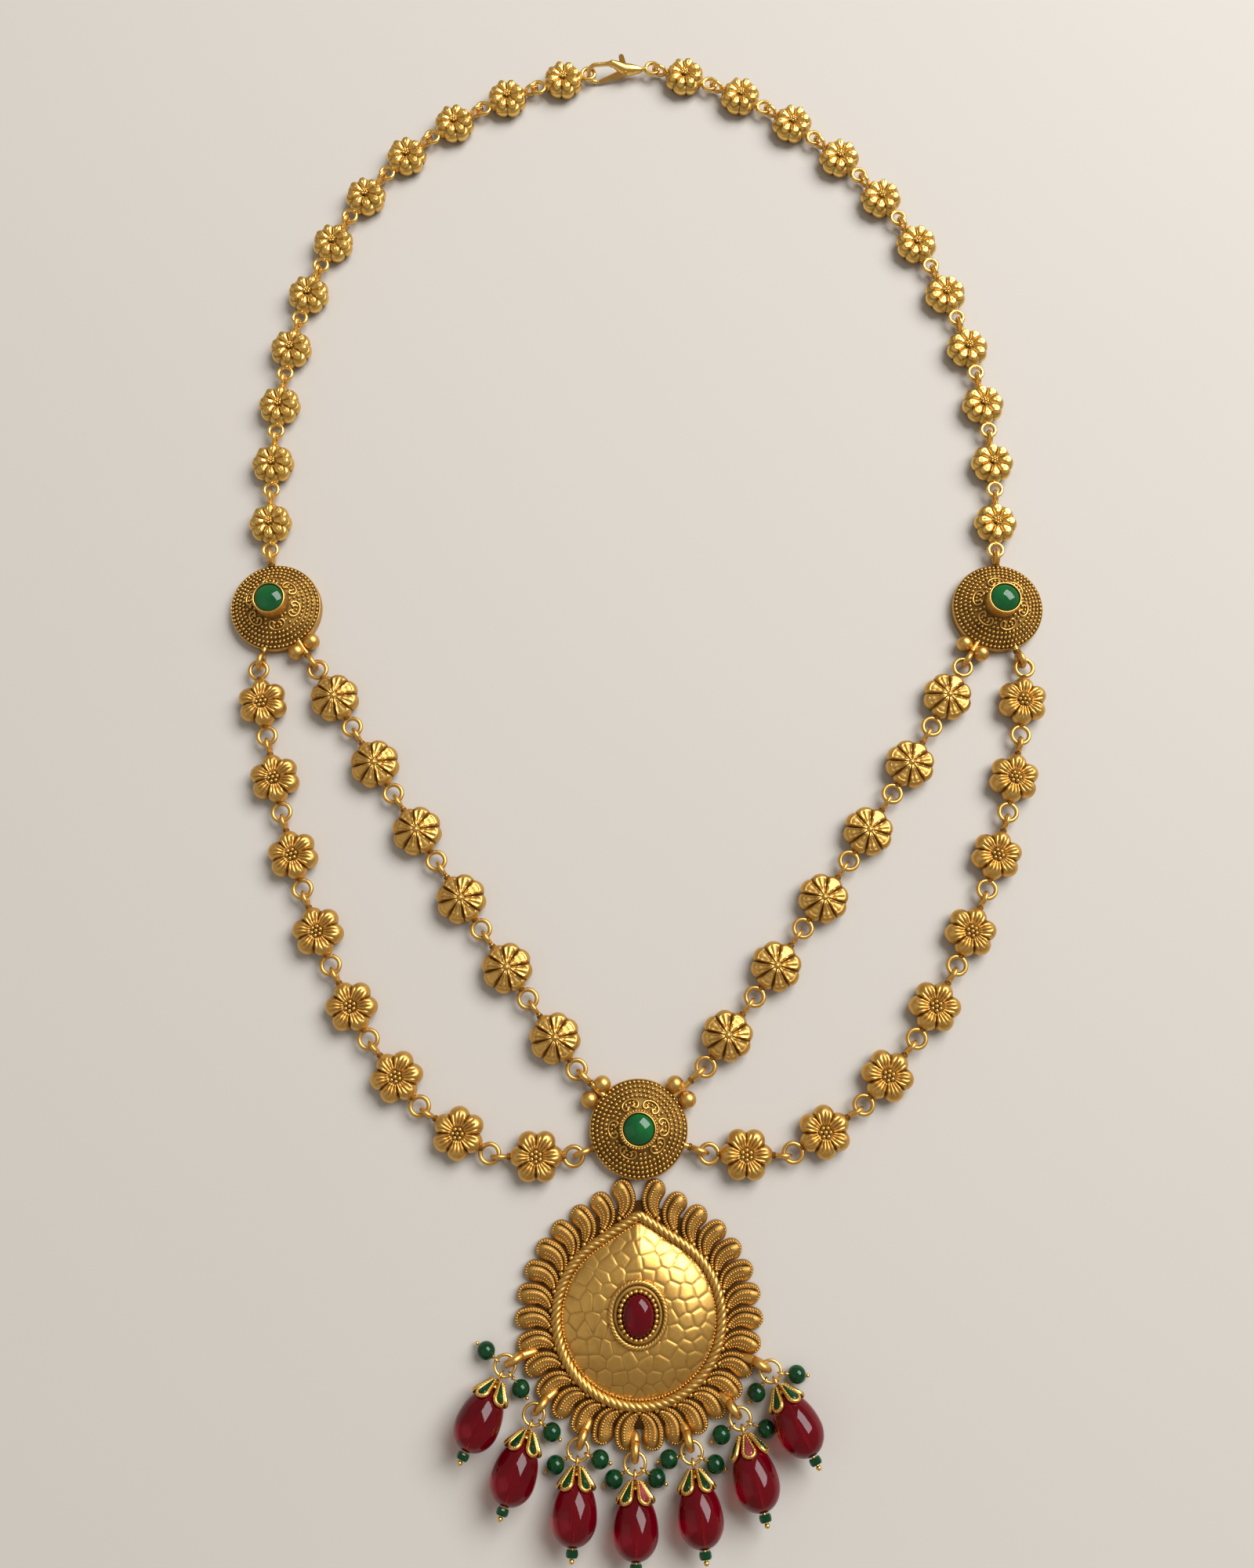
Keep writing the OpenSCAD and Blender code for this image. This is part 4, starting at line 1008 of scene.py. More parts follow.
def paisley():
    """One plump curved leaf with a groove and rows of short ridges over it."""
    t = np.concatenate([np.linspace(0, 1, 10), np.ones(7)])
    angle = np.concatenate([np.zeros(10), np.radians([18, 36, 52, 66, 78, 85, 89])])
    ahead = along(t)
    spine = paisley_spine(t) + ahead * (PAISLEY_HEAD_R * np.sin(angle))[:, None]
    width = follow(t, PAISLEY_HALF_WIDTH) * np.cos(angle)
    side = np.stack([-ahead[:, 1], ahead[:, 0]], -1)
    across, level, depth = np.array(PAISLEY_SECTION).T
    groove = (across > 0.4) & (across < 0.55)
    fade = (np.sin(angle) ** 2)[:, None]
    top = paisley_top(t, angle)[:, None]
    xy = spine[:, None] + (across * width[:, None])[..., None] * side[:, None]
    z = PAISLEY_BASE + np.where(groove, level + (0.9 - level) * fade, level) * top
    deep = np.where(groove, 0.8 - 0.5 * fade, depth)
    rows, columns = z.shape
    nose = [*(spine[-1] + ahead[-1] * 0.03), 0.9]
    points = np.vstack([np.concatenate([xy, z[..., None]], -1).reshape(-1, 3), nose])
    shape = Shape()
    shape.add(points, grid_faces(rows, columns), np.append(deep, 0.2))
    shape.fill(0, [fan(np.arange(columns) + (rows - 1) * columns, rows * columns)])

    ridge = built(turned, ball_profile(1.0, 3, -20), 6)
    turn = heading(along(1.0))
    run = np.linspace(0.05, 1, 60)
    normal = np.stack([-along(run)[:, 1], along(run)[:, 0]], -1)
    for offset, thick, long, rise, end in RIDGES:
        line = paisley_spine(run) + offset * follow(run, PAISLEY_HALF_WIDTH)[:, None] * normal
        gone = distances(line)
        for s in np.arange(0.1, gone[-1], RIDGE_PITCH):
            at = np.interp(s, gone, run)
            place = shift(*at_distance(s, gone, line), paisley_level(offset, at))
            place = place @ spin("z", heading(along(at)) + 18)
            shape.put(ridge, place @ np.diag([thick, long, rise, 1]))
        if end is None:
            continue
        reach = PAISLEY_HEAD_R * offset
        step = math.degrees(RIDGE_PITCH / reach)
        for a in np.arange(90 - step / 2, end, -step):
            forward = math.asin(min(0.99, offset * math.cos(math.radians(a))))
            beside = offset * math.sin(math.radians(a)) / math.cos(forward)
            spot = paisley_spine(1.0) + toward(a + turn, reach)
            place = shift(*spot, paisley_level(beside, 1.0, forward)) @ spin("z", a + turn - 72)
            shape.put(ridge, place @ np.diag([thick, long * (0.75 if a < 20 else 1.0), rise, 1]))
    for at, r in (((0.05, -1.75, 1.6), 0.5), ((0.5, -1.0, 1.85), 0.36)):
        grains(shape, [at], r, None, 10, 5)
    return shape


def pendant_border(shape, place, look):
    """The paisleys round the rope, with those on the left a mirror of those on the right."""
    leaf = paisley()
    for side in (0, 1):
        flip = np.diag([1.0 - 2 * side, 1, 1, 1])
        for k in range(look.paisleys):
            run = (k + 0.5) * PAISLEY_PITCH / BORDER_R * USUAL_PAISLEYS / look.paisleys
            turn = -90 + math.degrees(min(run, ROUND_RUN))
            root = toward(turn, ROPE_R) + toward(TIP_TURN + 90, max(0.0, run - ROUND_RUN) * BORDER_R)
            lean = 15.5 * max(0.0, (k + 4 - look.paisleys) / 3) ** 2
            copy = Shape()
            copy.put(leaf, flip @ shift(*root) @ spin("z", turn + lean))
            if side:
                copy.faces = [f[:, ::-1] for f in copy.faces]
            shape.put(copy, place)


def even_oval(half_w, half_l, count, z):
    """Points an equal way apart on an oval."""
    fine = oval(half_w, half_l, 2000, z)
    gone = distances(fine)
    return at_distance(np.arange(count) * gone[-1] / count, gone, fine)


def pendant_bezel(shape, place, look):
    """The rope, cup and beads round the red stone."""
    place = place @ shift(*BEZEL_AT)
    steps = 420
    tube(shape, oval(5.1, 5.75, steps, 4.6), 0.62, 16, True, place=place, section=rope_section(-24, steps))
    turned(shape, FRAME_CUP, 96, place, FRAME_HALF)
    grains(shape, even_oval(3.4, 4.3, look.beads_round_stone, 5.75), 0.46, place, 12, 7, -60)
    turned(shape, RUBY_CUP, 72, place, RUBY_HALF)


def drop_eye(shape, drop):
    """The soldered bar and eye on the pendant's edge that hold one jump ring."""
    reach = JUMP_R + DROP_EYE_R - JUMP_WIRE_R - DROP_BAR_R - LINK_PLAY
    eye_at = np.array(drop[:2]) - toward(drop[2], reach)
    foot = np.array(PENDANT_AT) + toward(heading(eye_at - PENDANT_AT), 19.8)
    upright_eye(shape, DROP_EYE_R, DROP_BAR_R - 0.02, shift(*eye_at, DROP_EYE_Z) @ spin("z", drop[2]), 34, 16)
    start = eye_at - toward(drop[2], DROP_EYE_R)
    share = np.array([0, 0.06, 0.18, 0.4, 0.6, 0.8, 1.0])
    level = np.interp(share, [0, 0.4, 1], [1.1, 1.6, DROP_EYE_Z])
    path = np.column_stack([foot + share[:, None] * (start - foot), level])
    tube(shape, path, [0.3, 0.5, 0.66, 0.76, 0.82, 0.84, 0.8], 16)


def pendant_shape(shape, place, look):
    pendant_plate(shape, place)
    pendant_rope(shape, place)
    pendant_field(shape, place, look)
    pendant_bezel(shape, place, look)
    for drop in DROPS:
        drop_eye(shape, drop)


def pendant_stone(shape, place):
    """The red stone: straight sides and a domed top."""
    low, side, rise = 4.8, 5.9, 1.7
    profile = [(0, low), (0.96, low), (1.0, low + 0.1), (1.0, side)]
    profile += [(math.cos(a), side + rise * math.sin(a)) for a in np.radians(np.linspace(0, 90, 16))[1:-1]]
    turned(shape, profile + [(0, side + rise)], 72, place @ shift(*BEZEL_AT), RUBY_HALF)


# Drops: the long way of a drop is its own Z

# Collar of a cap: radius, height, depth
CAP_COLLAR = (
    (PIN_HOLE_R, 2.98, 0.9), (0.75, 2.98, 0.3), (0.93, 3.1, 0.0), (0.95, 3.35, 0.5), (1.2, 3.55, 0.2),
    (1.42, 3.72, 0.0), (1.44, 3.88, 0.4), (PIN_HOLE_R, 3.9, 0.9),
)
# Rows of a leaf over its lowest one: share of its outer edge, height, depth
LEAF_ROWS = (
    (1.0, 0.1, 0.1), (1.0, 0.36, 0.0), (0.8, 0.6, 0.15), (0.45, 0.66, 0.15), (0.12, 0.56, 0.3),
    (0.0, 0.2, 1.0),
)
RONDELLE = ((PIN_HOLE_R, 0), (0.95, 0), (1.1, 0.35), (1.1, 0.95), (0.95, 1.3), (PIN_HOLE_R, 1.3))
LEAF_GRAINS = 20


def drop_place(i):
    x, y, _, turn = DROPS[i]
    place = shift(x, y, BEAD_R + 0.1) @ spin("z", turn) @ shift(BEAD_AT, 0)
    return place @ spin("y", DROP_LEAN) @ shift(0, 0, -BEAD_AT)


def leaf_places(i):
    """Number and place of each leaf of a cap."""
    steps = np.arange(-2.0, 3.0) if i == MIDDLE_LEAF_DROP else np.arange(-1.5, 2.0)
    places = []
    for k in steps:
        root = spin("z", 180 + k * 72) @ shift(0.95, 0, 3.2)
        places.append((k, root @ spin("y", 36 - 90) @ spin("x", 180)))
    return places


def pear(inset, neck_r, wide_steps=22, neck_steps=7):
    """A leaf's pear outline, drawn in by inset at its wide end, with its narrow end at the origin."""
    wide_r = LEAF_W / 2 - inset
    apart = LEAF_L - LEAF_W / 2
    a = 90 + math.degrees(math.asin((wide_r - neck_r) / apart))
    wide = [np.array([apart, 0]) + toward(-a + 2 * a * i / wide_steps, wide_r) for i in range(wide_steps + 1)]
    neck = [toward(a + (360 - 2 * a) * i / neck_steps, neck_r) for i in range(1, neck_steps)]
    return np.array(wide + neck)


def leaf(shape, place):
    """One leaf of a cap: its wall, its rim and the seat of its stone, with small grains along the rim."""
    edge = pear(0, LEAF_NECK_R)
    rim = pear(0.66, LEAF_NECK_R - 0.4)
    n = len(edge)
    rows = [np.column_stack([edge * 0.98 + [0.03, 0], np.zeros(n)])]
    rows += [np.column_stack([edge * share + rim * (1 - share), np.full(n, z)]) for share, z, _ in LEAF_ROWS]
    deep = np.repeat([0.6] + [row[2] for row in LEAF_ROWS], n)
    middle = (LEAF_L - LEAF_W / 2) * 0.7
    skin(shape, rows, (middle, 0, 0.0), (middle, 0, 0.2), np.append(deep, [0.6, 1.0]), place)
    line = pear(0.33, LEAF_NECK_R - 0.2)
    line = np.vstack([line, line[:1]])
    gone = distances(line)
    spots = at_distance(np.arange(LEAF_GRAINS) * gone[-1] / LEAF_GRAINS, gone, line)
    grains(shape, np.column_stack([spots, np.full(LEAF_GRAINS, 0.53)]), 0.19, place, 7, 3)


def drop_cap(shape, i):
    place = drop_place(i)
    turned(shape, CAP_COLLAR, 36, place)
    grains(shape, [(*toward(k * 30, 1.02), 3.32) for k in range(12)], 0.27, place, 9, 6, -80)
    for _, where in leaf_places(i):
        leaf(shape, place @ where)


def leaf_stone(shape, place, finish):
    """A cut stone in a leaf: a straight edge, two rows of facets and a flat top."""
    edge = pear(0.62, 0.18, 9, 3)
    n = len(edge)
    middle = np.array([(LEAF_L - LEAF_W / 2) * 0.72, 0])
    between = (np.roll(edge, -1, 0) + edge) / 2
    rows = []
    for line, share, z in ((edge, 1, 0.3), (edge, 1, 0.44), (between, 0.8, 0.66), (edge, 0.42, 0.76)):
        rows.append(np.column_stack([middle + (line - middle) * share, np.full(n, z)]))
    points = np.vstack(rows + [[[*middle, 0.76]], [[*middle, 0.3]]])
    c = np.arange(n)
    low, facet, top = c + n, c + 2 * n, c + 3 * n
    low_on, facet_on, top_on = ((c + 1) % n + k * n for k in (1, 2, 3))
    base = shape.count
    shape.add(points, grid_faces(2, n), 0.0, place, finish)
    facets = ((low, low_on, facet), (low_on, facet_on, facet),
              (facet, facet_on, top_on), (facet, top_on, top))
    shape.fill(base, [np.stack(f, -1) for f in facets] + [fan(top, 4 * n), fan(c, 4 * n + 1, True)], finish)


def holed(outer, hole, lip):
    """A bead's closed profile with its hole, from its outer line."""
    outer = [p for p in outer if p[0] > hole]
    return outer + [(hole, outer[-1][1] - lip), (hole, outer[0][1] + lip)]


def red_bead_profile(r, above, below):
    """Pear-shaped bead, from the narrow top round to the wide end."""
    quarter = np.linspace(0, math.pi / 2, 20)
    outer = [(r * math.sin(t), -above * math.cos(t)) for t in quarter]
    outer += [(r * math.cos(t), below * math.sin(t)) for t in quarter[1:]]
    return holed(outer, PIN_HOLE_R, 0.05)


def head_pin(shape, place):
    upright_eye(shape, PIN_LOOP_R, PIN_R, place @ shift(0, 0, PIN_LOOP_AT), 24, 10)
    rod(shape, PIN_LOOP_AT + PIN_LOOP_R, PIN_END, PIN_R, place @ spin("y", -90), 10)
    ball(shape, (0, 0, PIN_END), 0.5, place)


def charm_place(charm):
    """Where a green bead's wire hooks into its jump ring, with X along the wire."""
    drop, turn, reach = DROPS[charm[0]], *charm[1:]
    hook = np.array(drop[:2]) + toward(turn, JUMP_R)
    rise = JUMP_R * math.sin(math.radians(JUMP_TILT))
    hook_z = JUMP_Z + rise * math.cos(math.radians(turn - drop[3]))
    tilt = math.degrees(math.atan2(hook_z - CHARM_Z, reach - JUMP_R))
    return shift(*hook, hook_z) @ spin("z", turn) @ spin("y", tilt)


def charm(beads, wires, spec, r):
    """One green bead with its hole, and its wire with loop, collar and end ball."""
    place = charm_place(spec)
    bead_at = spec[2] - JUMP_R + 0.12
    outer = [(r * math.sin(t), -r * math.cos(t)) for t in np.linspace(0, math.pi, 22)]
    profile = holed(outer, CHARM_HOLE_R, 0.02)
    closed_turned(beads, profile, 28, place @ shift(bead_at, 0) @ spin("y", 90))
    upright_eye(wires, CHARM_LOOP_R, CHARM_WIRE_R, place, 20, 8)
    rod(wires, CHARM_LOOP_R, bead_at + r + 0.4, CHARM_WIRE_R, place, 8)
    coil(wires, CHARM_LOOP_R + 0.22, 1, 0.13, 0.28, place, deep=0.35)
    ball(wires, (bead_at + r + 0.5, 0, 0), 0.4, place, sides=12)


# Clasp: X runs from its claw to its tail ring

CLAW_LEAN = 52
CLAW_LOOP_AT, CLAW_LOOP_R, CLAW_WIRE_R = -5.5, 1.8, 0.48
CLAW_GRIP = 1.9
# Thick part: place along it with middle and with half width
CLAW_MIDDLE = ((-1.6, 1.75), (1.2, 0.2), (4.6, 0.0))
CLAW_HALF = ((-1.6, 0.86), (-0.6, 1.16), (1.2, 1.46), (2.8, 1.26), (4.6, 0.78))
SLOT_HALF = 0.5
# Arm from the loop to the thick part: x, y, radius
CLAW_ARM = ((-4.3, 1.8, 0.48), (-3.2, 1.8, 0.48), (-2.5, 1.8, 0.52), (-2.15, 1.8, 0.66), (-1.85, 1.77, 0.8),
            (-1.5, 1.7, 0.88))
# Tail: x, radius
CLAW_TAIL = ((3.2, 1.18), (3.6, 1.1), (4.0, 0.98), (4.4, 0.86), (4.8, 0.76), (5.1, 0.62), (5.3, 0.45))
PIVOT_AT = (1.2, -0.3, -1.5)
PIVOT = ((0, 0), (0.42, 0.0), (0.5, 0.12), (0.4, 0.3), (0.4, 2.7), (0.5, 2.88), (0.42, 3.0), (0, 3.0))


def clasp_place():
    """Where the clasp lies, and how far along it the tail ring is."""
    claw = start_ring("upper_chain_left")
    tail = start_ring("upper_chain_right", -1)
    turn = heading(tail - claw)
    at = claw + toward(turn, CLAW_GRIP - CLAW_LOOP_AT)
    return shift(*at, RING_HEIGHT) @ spin("z", turn), np.linalg.norm(tail - at)


def clasp_half(shape, sign, place):
    """The part of the clasp over or under the slot of its lever."""
    rows = []
    for x in np.linspace(-1.55, 3.25, 18):
        half = follow(x, CLAW_HALF)
        from_a = math.asin(SLOT_HALF / half)
        a = np.linspace(from_a, math.pi - from_a, 12)[::sign]
        y = follow(x, CLAW_MIDDLE) + half * np.cos(a)
        rows.append(np.column_stack([np.full(12, x), y, sign * half * np.sin(a)]))
    skin(shape, rows, np.mean(rows[0], 0), np.mean(rows[-1], 0), 0.0, place)


def clasp_shape(shape):
    level, ring_x = clasp_place()
    claw = level @ spin("x", CLAW_LEAN)
    turns = np.radians(np.linspace(262, 90, 26))
    loop = [(CLAW_LOOP_AT + CLAW_LOOP_R * math.cos(t), CLAW_LOOP_R * math.sin(t), CLAW_WIRE_R) for t in turns]
    x, y, wire = np.array(loop + list(CLAW_ARM)).T
    path = np.stack([x, y, np.zeros(len(x))], -1)
    tube(shape, path, wire, 16, place=claw)
    ball(shape, path[0], 0.52, claw, 10, 16)
    clasp_half(shape, 1, claw)
    clasp_half(shape, -1, claw)
    tail_x, tail_r = np.array(CLAW_TAIL).T
    tail = np.column_stack([tail_x, follow(tail_x, CLAW_MIDDLE), np.zeros(len(tail_x))])
    tube(shape, tail, tail_r, 20, place=claw)
    turned(shape, [(*row, 0.1) for row in PIVOT], 18, claw @ shift(*PIVOT_AT))
    rod(shape, 4.7, ring_x - UPPER_RING_R, NECK_R, level)
    lying_ring(shape, UPPER_RING_R, WIRE_R, level @ shift(ring_x, 0))


# The values that a user would change

def colour(label, about, value):
    return bpy.props.FloatVectorProperty(
        name=label, description=about, default=value, subtype="COLOR", min=0, max=1)


def size(label, about, value):
    return bpy.props.FloatProperty(
        name=label, description=about, default=value * MM, subtype="DISTANCE", unit="LENGTH")


def number(label, about, value, low, high):
    return bpy.props.IntProperty(name=label, description=about, default=value, min=low, max=high)


def power(label, about, value, subtype="POWER"):
    return bpy.props.FloatProperty(name=label, description=about, default=value, min=0, subtype=subtype)


class NecklaceFinish(bpy.types.PropertyGroup):
    bright: colour("Bright gold", "Polished gold of the upper chains, clasp and rings", (0.88, 0.57, 0.16))
    bright_shade: colour("Bright gold, toned", "Where the bright gold is a little dull", (0.68, 0.38, 0.08))
    antique: colour("Antique gold", "Satin gold of the medallions, lower strands and pendant",
                    (0.77, 0.47, 0.13))
    antique_shade: colour("Antique gold, toned", "Where the antique gold is tarnished", (0.54, 0.29, 0.065))
    # This colour paints the patina and also the painted shade in grooves, hollows and under parts
    patina_and_shade: colour("Patina", "Dark deposit in the grooves", (0.075, 0.034, 0.009))
    green: colour("Emerald", "Clear part of the green cabochons", (0.006, 0.16, 0.034))
    green_shade: colour("Emerald, cloudy", "Veils in the green cabochons", (0.004, 0.085, 0.026))
    dark_green: colour("Dark green", "Clear part of the green beads", (0.0, 0.085, 0.022))
    dark_green_shade: colour("Dark green, cloudy", "Veils in the green beads", (0.0, 0.036, 0.010))
    red: colour("Ruby", "Clear part of the red stones", (0.37, 0.0, 0.014))
    red_shade: colour("Ruby, cloudy", "Veils in the red stones", (0.2, 0.0, 0.008))
    pink: colour("Pink stone", "The few pink stones in the leaves", (0.50, 0.09, 0.13))


class NecklaceChains(bpy.types.PropertyGroup):
    upper_flower: size("Upper flower", "Across the lobes of an upper flower", 9.2)
    upper_petals: number("Upper petals", "Petals of an upper flower", 8, 5, 10)
    inner_flower: size("Inner flower", "Across the petals of an inner flower", 10.2)
    inner_petals: number("Inner petals", "Petals of an inner flower", 8, 6, 10)
    outer_flower: size("Outer flower", "Across the lobes of an outer flower", 10.4)
    outer_petals: number("Outer petals", "Petals of an outer flower", 6, 5, 8)


class NecklaceMedallions(bpy.types.PropertyGroup):
    across: size("Medallion", "Across the rim of a medallion", 19.0)
    stone: size("Stone", "Across the green stone of a medallion", 5.8)
    side_cup: size("Side cup", "Height of the cup of a side medallion", 8.2)
    centre_cup: size("Centre cup", "Height of the cup of the centre medallion", 6.8)


class NecklacePendant(bpy.types.PropertyGroup):
    cell: size("Beaten cell", "Across one beaten cell of the domed field", 2.9)
    paisleys: number("Paisleys", "Paisleys on each side", USUAL_PAISLEYS, 12, 18)
    beads_round_stone: number("Beads", "Beads round the red stone", 26, 18, 34)


class NecklaceDrops(bpy.types.PropertyGroup):
    bead: size("Bead", "Across the red bead of a drop", 8.3)
    bead_length: size("Bead length", "Length of the red bead of a drop", 11.6)
    charm: size("Green bead", "Across a green bead", 3.4)


class NecklaceStage(bpy.types.PropertyGroup):
    floor: colour("Floor", "Colour of the pale floor", (0.54, 0.51, 0.475))
    window: power("Window light", "Power of the window on the upper right, in watts", 34.0)
    fill: power("Fill light", "Power of the soft fill on the left, in watts", 0.6)
    sky: power("Room light", "Strength of the light from all round", 0.34, "UNSIGNED")


# One operator for each group of pieces

class MakeUpperChains(bpy.types.Operator):
    """Makes the two upper chains of eleven flower links each"""
    bl_idname = "necklace.make_upper_chains"
    bl_label = "Upper chains"

    def execute(self, context):
        flower = upper_flower(context.scene.necklace_chains)
        for name in ("upper_chain_left", "upper_chain_right"):
            strand_shape(name, flower).piece(name + "_links", "bright_gold", [bright_gold()], [name])
        return {"FINISHED"}


class MakeLowerStrands(bpy.types.Operator):
    """Makes the two inner and the two outer strands"""
    bl_idname = "necklace.make_lower_strands"
    bl_label = "Lower strands"

    def execute(self, context):
        look = context.scene.necklace_chains
        for kind, flower in (("inner", inner_flower(look)), ("outer", outer_flower(look))):
            for side in ("left", "right"):
                name = f"{kind}_strand_{side}"
                strand_shape(name, flower).piece(name + "_links", "antique_gold", [antique_gold()], [name])
        return {"FINISHED"}


class MakeMedallions(bpy.types.Operator):
    """Makes the three medallions and their green stones"""
    bl_idname = "necklace.make_medallions"
    bl_label = "Medallions"

    def make(self, look, at, cup_h, beaded, seed, rings, angles, names):
        """One medallion with bars, solder balls and stone. names: its face and node, its stone and node."""
        across, stone_d = look.across / MM, look.stone / MM
        shape = built(medallion_face, at, across, cup_h / MM, stone_d, beaded, seed)
        for ring_at, ring_r in rings:
            strand_bar(shape, ring_at, ring_r, at, across)
        solder_balls(shape, at, angles, across)
        shape.piece(names[0], "antique_gold", [antique_gold()], [names[1]])
        built(cabochon, cup_h / MM, stone_d, at).piece(names[2], "emerald", [emerald()], [names[3]])

    def execute(self, context):
        look = context.scene.necklace_medallions
        for side, at, angles, seed in (
            ("left", SIDE_LEFT_AT, (-63.4, -43.5), 3), ("right", SIDE_RIGHT_AT, (-112, -133), 5),
        ):
            rings = [(end_ring(f"upper_chain_{side}"), UPPER_RING_R)]
            rings += [(start_ring(f"{kind}_strand_{side}"), LOWER_RING_R) for kind in ("inner", "outer")]
            names = (f"side_medallion_{side}_face", f"side_medallion_{side}",
                     f"side_cabochon_{side}", f"side_stone_{side}")
            self.make(look, at, look.side_cup, False, seed, rings, angles, names)
        strands = ("inner_strand_left", "inner_strand_right", "outer_strand_left", "outer_strand_right")
        rings = [(end_ring(name), LOWER_RING_R) for name in strands]
        names = ("centre_medallion_face", "centre_medallion", "centre_cabochon", "centre_stone")
        self.make(look, CENTRE_AT, look.centre_cup, True, 7, rings, (130, 150, 50, 30), names)
        return {"FINISHED"}


class MakePendant(bpy.types.Operator):
    """Makes the teardrop pendant and its red stone"""
    bl_idname = "necklace.make_pendant"
    bl_label = "Pendant"

    def execute(self, context):
        look = context.scene.necklace_pendant
        place = shift(*PENDANT_AT)
        built(pendant_shape, place, look).piece("pendant_face", "antique_gold", [antique_gold()], ["pendant"])
        built(pendant_border, place, look).piece("paisley_border", "antique_gold", [antique_gold()], [])
        built(pendant_stone, place).piece("pendant_cabochon", "ruby", [ruby()], ["pendant_stone"])
        return {"FINISHED"}


class MakeDrops(bpy.types.Operator):
    """Makes the seven drops with their rings, caps, beads, pins and rondelles, and the green beads"""
    bl_idname = "necklace.make_drops"
    bl_label = "Drops"

    def execute(self, context):
        look = context.scene.necklace_drops
        pink = pink_stone()
        stones = Shape()
        profile = red_bead_profile(look.bead / MM / 2, look.bead_length / MM - BEAD_BELOW, BEAD_BELOW)
        for i, (x, y, _, turn) in enumerate(DROPS):
            n = i + 1
            place = drop_place(i)
            for k, where in leaf_places(i):
                leaf_stone(stones, place @ where, 1 if (i, k) in PINK_LEAVES else 0)
            ring_place = shift(x, y, JUMP_Z) @ spin("z", turn) @ spin("y", -JUMP_TILT)
            ring = built(lying_ring, JUMP_R, JUMP_WIRE_R, ring_place, 40, 12)
            ring.piece(f"jump_ring_{n}", "bright_gold", [bright_gold()], [f"drop_ring_{n}"])
            built(drop_cap, i).piece(f"leaf_cap_{n}", "antique_gold", [bright_gold()], [f"drop_cap_{n}"])
            bead = built(closed_turned, profile, 56, place @ shift(0, 0, BEAD_AT))
            bead.piece(f"red_bead_{n}", "ruby", [ruby()], [f"drop_bead_{n}"])
            built(head_pin, place).piece(f"head_pin_{n}", "bright_gold", [bright_gold()], [f"drop_pin_{n}"])
            rondelle = built(closed_turned, RONDELLE, 11, place @ shift(0, 0, RONDELLE_AT))
            rondelle.piece(f"green_rondelle_{n}", "emerald", [dark_emerald()], [f"drop_rondelle_{n}"],
                           crisp=12)
        stones.piece("leaf_gems", "emerald", [dark_emerald(), pink], ["leaf_stones"], crisp=8)
        beads, wires = Shape(), Shape()
        for spec in CHARMS:
            charm(beads, wires, spec, look.charm / MM / 2)
        beads.piece("green_beads", "emerald", [dark_emerald()], ["charm_beads"])
        wires.piece("green_bead_wires", "bright_gold", [bright_gold()], ["charm_wires"])
        return {"FINISHED"}


class MakeClasp(bpy.types.Operator):
    """Makes the claw and finishes its lever"""
    bl_idname = "necklace.make_clasp"
    bl_label = "Clasp"

    def execute(self, context):
        built(clasp_shape).piece("claw", "bright_gold", [bright_gold()], ["clasp_body"])
        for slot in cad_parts["clasp_lever"].material_slots:
            slot.material = antique_gold()
        return {"FINISHED"}


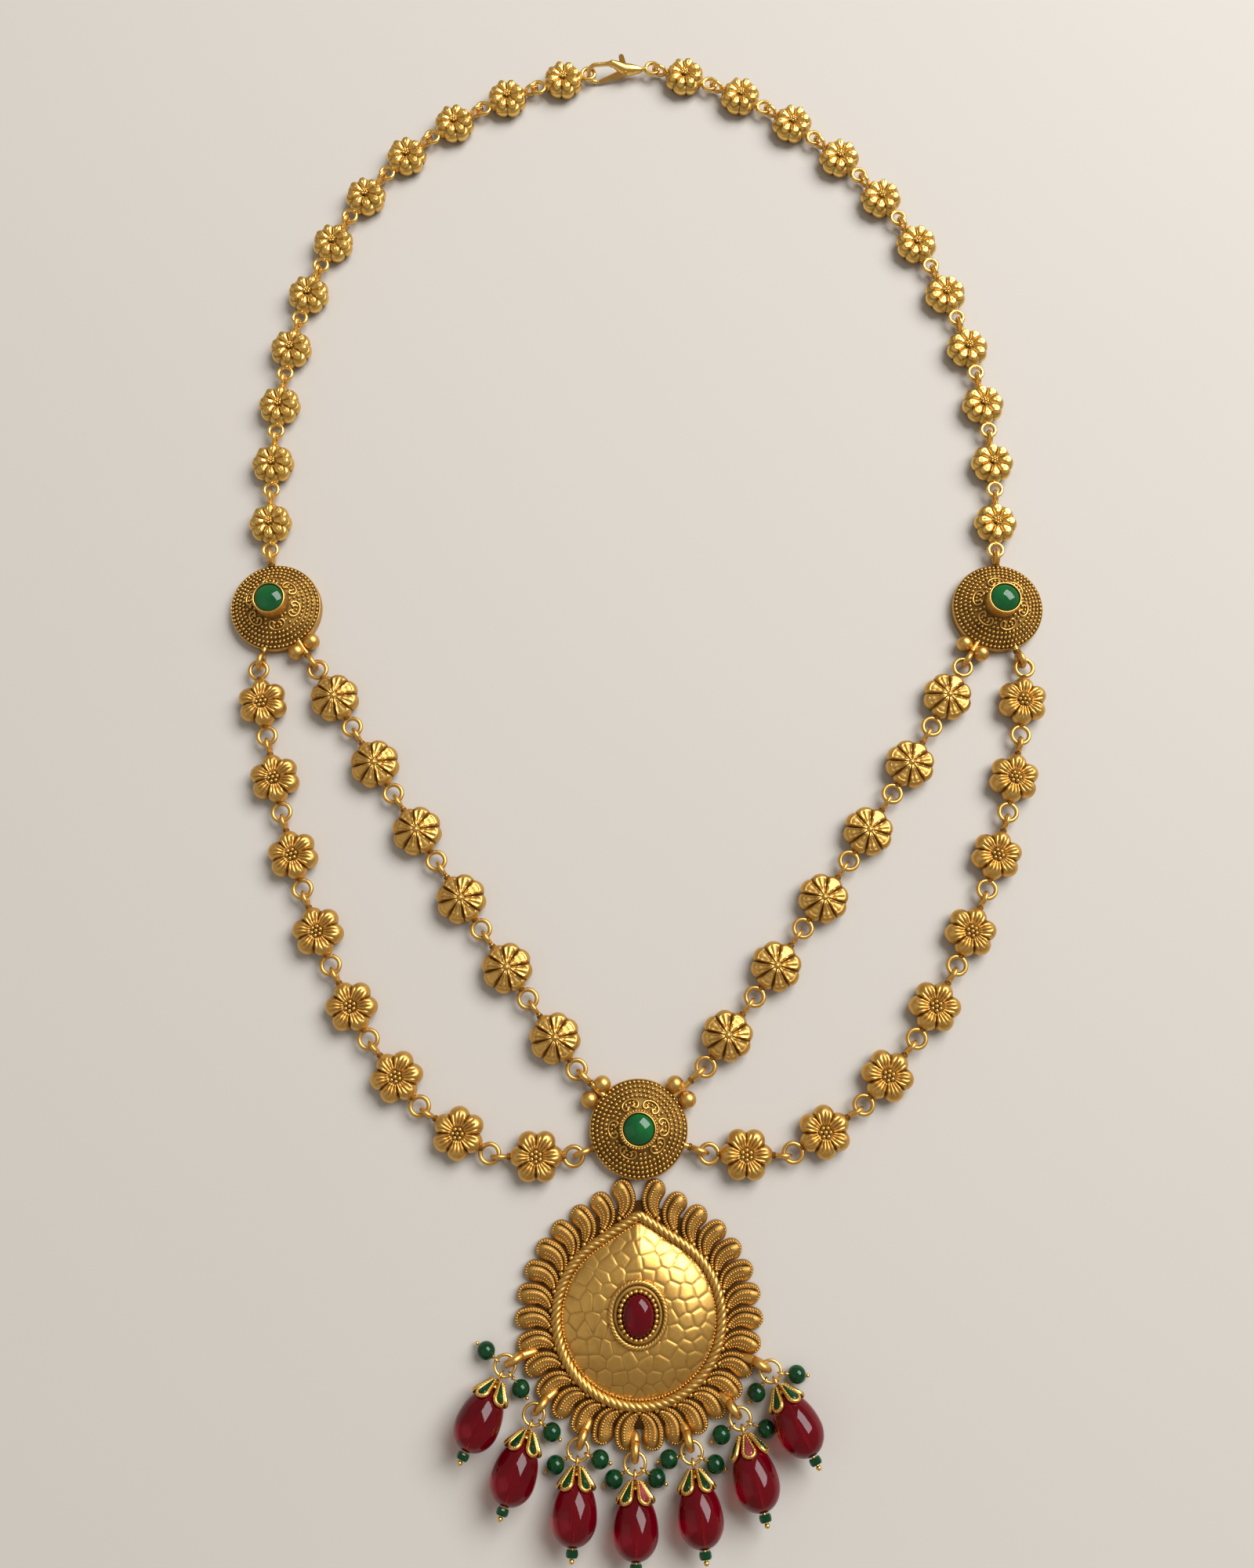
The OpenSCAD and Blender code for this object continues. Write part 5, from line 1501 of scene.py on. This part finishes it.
class MakeStage(bpy.types.Operator):
    """Makes the pale floor, the lights and the camera"""
    bl_idname = "necklace.make_stage"
    bl_label = "Floor, lights and camera"

    # Lights: property with the power, name, width, height, place and what it faces, in metres
    LIGHTS = (
        ("window", "window", 1.25, 0.95, (0.76, 0.68, 1.12), (0.0, -0.02, 0.0)),
        ("fill", "soft_fill", 0.9, 0.9, (-0.75, -0.25, 0.7), (0.0, 0.0, 0.0)),
    )
    FLOOR_HALF, FLOOR_LINES = 1.5, 24
    SKY = (1.0, 0.92, 0.80, 1)

    def make_floor(self, scene, tone):
        n = self.FLOOR_LINES
        line = np.linspace(-self.FLOOR_HALF, self.FLOOR_HALF, n)
        x, y = np.meshgrid(line, line)
        points = np.stack([x, y, np.zeros_like(x)], -1).reshape(-1, 3)
        mesh = bpy.data.meshes.new("floor")
        mesh.from_pydata(points.tolist(), [], grid_faces(n, n, False).tolist())
        material, tree, shader = new_material("pale_floor")
        dim = tuple(c * 0.97 for c in tone)
        mottled = blend_colour(tree, noise(tree, 9.0, 5.0), (*tone, 1), (*dim, 1))
        tree.links.new(mottled, shader.inputs["Base Color"])
        shader.inputs["Roughness"].default_value = 0.85
        mesh.materials.append(material)
        floor = bpy.data.objects.new("floor", mesh)
        scene.collection.objects.link(floor)

    def make_lights(self, scene, look):
        for power_name, name, wide, high, at, aim in self.LIGHTS:
            light = bpy.data.lights.new(name, "AREA")
            light.shape = "RECTANGLE"
            light.size, light.size_y = wide, high
            light.energy = getattr(look, power_name)
            lamp = bpy.data.objects.new(name, light)
            lamp.location = at
            lamp.rotation_euler = (Vector(aim) - Vector(at)).to_track_quat("-Z", "Y").to_euler()
            scene.collection.objects.link(lamp)
        world = bpy.data.worlds.new("room")
        world.use_nodes = True
        back = world.node_tree.nodes["Background"]
        back.inputs["Color"].default_value = self.SKY
        back.inputs["Strength"].default_value = look.sky
        scene.world = world

    def make_camera(self, scene):
        camera = bpy.data.cameras.new("camera")
        camera.sensor_fit = "VERTICAL"
        camera.sensor_height = SENSOR_MM
        camera.lens = SENSOR_MM * CAMERA_FOCAL_PIXELS / PHOTO_HIGH
        camera.clip_start = 0.01
        eye = bpy.data.objects.new("camera", camera)
        eye.location = [c * MM for c in CAMERA_AT]
        eye.rotation_euler = (math.radians(CAMERA_TILT), 0, 0)
        scene.collection.objects.link(eye)
        scene.camera = eye

    def execute(self, context):
        scene = context.scene
        look = scene.necklace_stage
        self.make_floor(scene, tuple(look.floor))
        self.make_lights(scene, look)
        self.make_camera(scene)
        scene.view_settings.view_transform = "Standard"
        return {"FINISHED"}


MAKERS = (MakeUpperChains, MakeLowerStrands, MakeMedallions, MakePendant, MakeDrops, MakeClasp, MakeStage)
LOOKS = (
    ("necklace_finish", NecklaceFinish),
    ("necklace_chains", NecklaceChains),
    ("necklace_medallions", NecklaceMedallions),
    ("necklace_pendant", NecklacePendant),
    ("necklace_drops", NecklaceDrops),
    ("necklace_stage", NecklaceStage),
)


class NecklacePanel(bpy.types.Panel):
    """Lists the values of the necklace and the makers of its pieces"""
    bl_idname = "VIEW3D_PT_necklace"
    bl_label = "Layered necklace"
    bl_space_type = "VIEW_3D"
    bl_region_type = "UI"
    bl_category = "Necklace"

    def draw(self, context):
        for name, group in LOOKS:
            box = self.layout.box()
            box.label(text=name.replace("_", " ").capitalize())
            for field in group.__annotations__:
                box.prop(getattr(context.scene, name), field)
        for maker in MAKERS:
            self.layout.operator(maker.bl_idname)


def register():
    for name, group in LOOKS:
        bpy.utils.register_class(group)
        setattr(bpy.types.Scene, name, bpy.props.PointerProperty(type=group))
    for maker in MAKERS:
        bpy.utils.register_class(maker)
    bpy.utils.register_class(NecklacePanel)


def unregister():
    bpy.utils.unregister_class(NecklacePanel)
    for maker in reversed(MAKERS):
        bpy.utils.unregister_class(maker)
    for name, group in reversed(LOOKS):
        delattr(bpy.types.Scene, name)
        bpy.utils.unregister_class(group)


def main():
    register()
    bpy.ops.necklace.make_stage()
    bpy.ops.necklace.make_upper_chains()
    bpy.ops.necklace.make_lower_strands()
    bpy.ops.necklace.make_medallions()
    bpy.ops.necklace.make_pendant()
    bpy.ops.necklace.make_drops()
    bpy.ops.necklace.make_clasp()


if __name__ == "__main__":
    main()
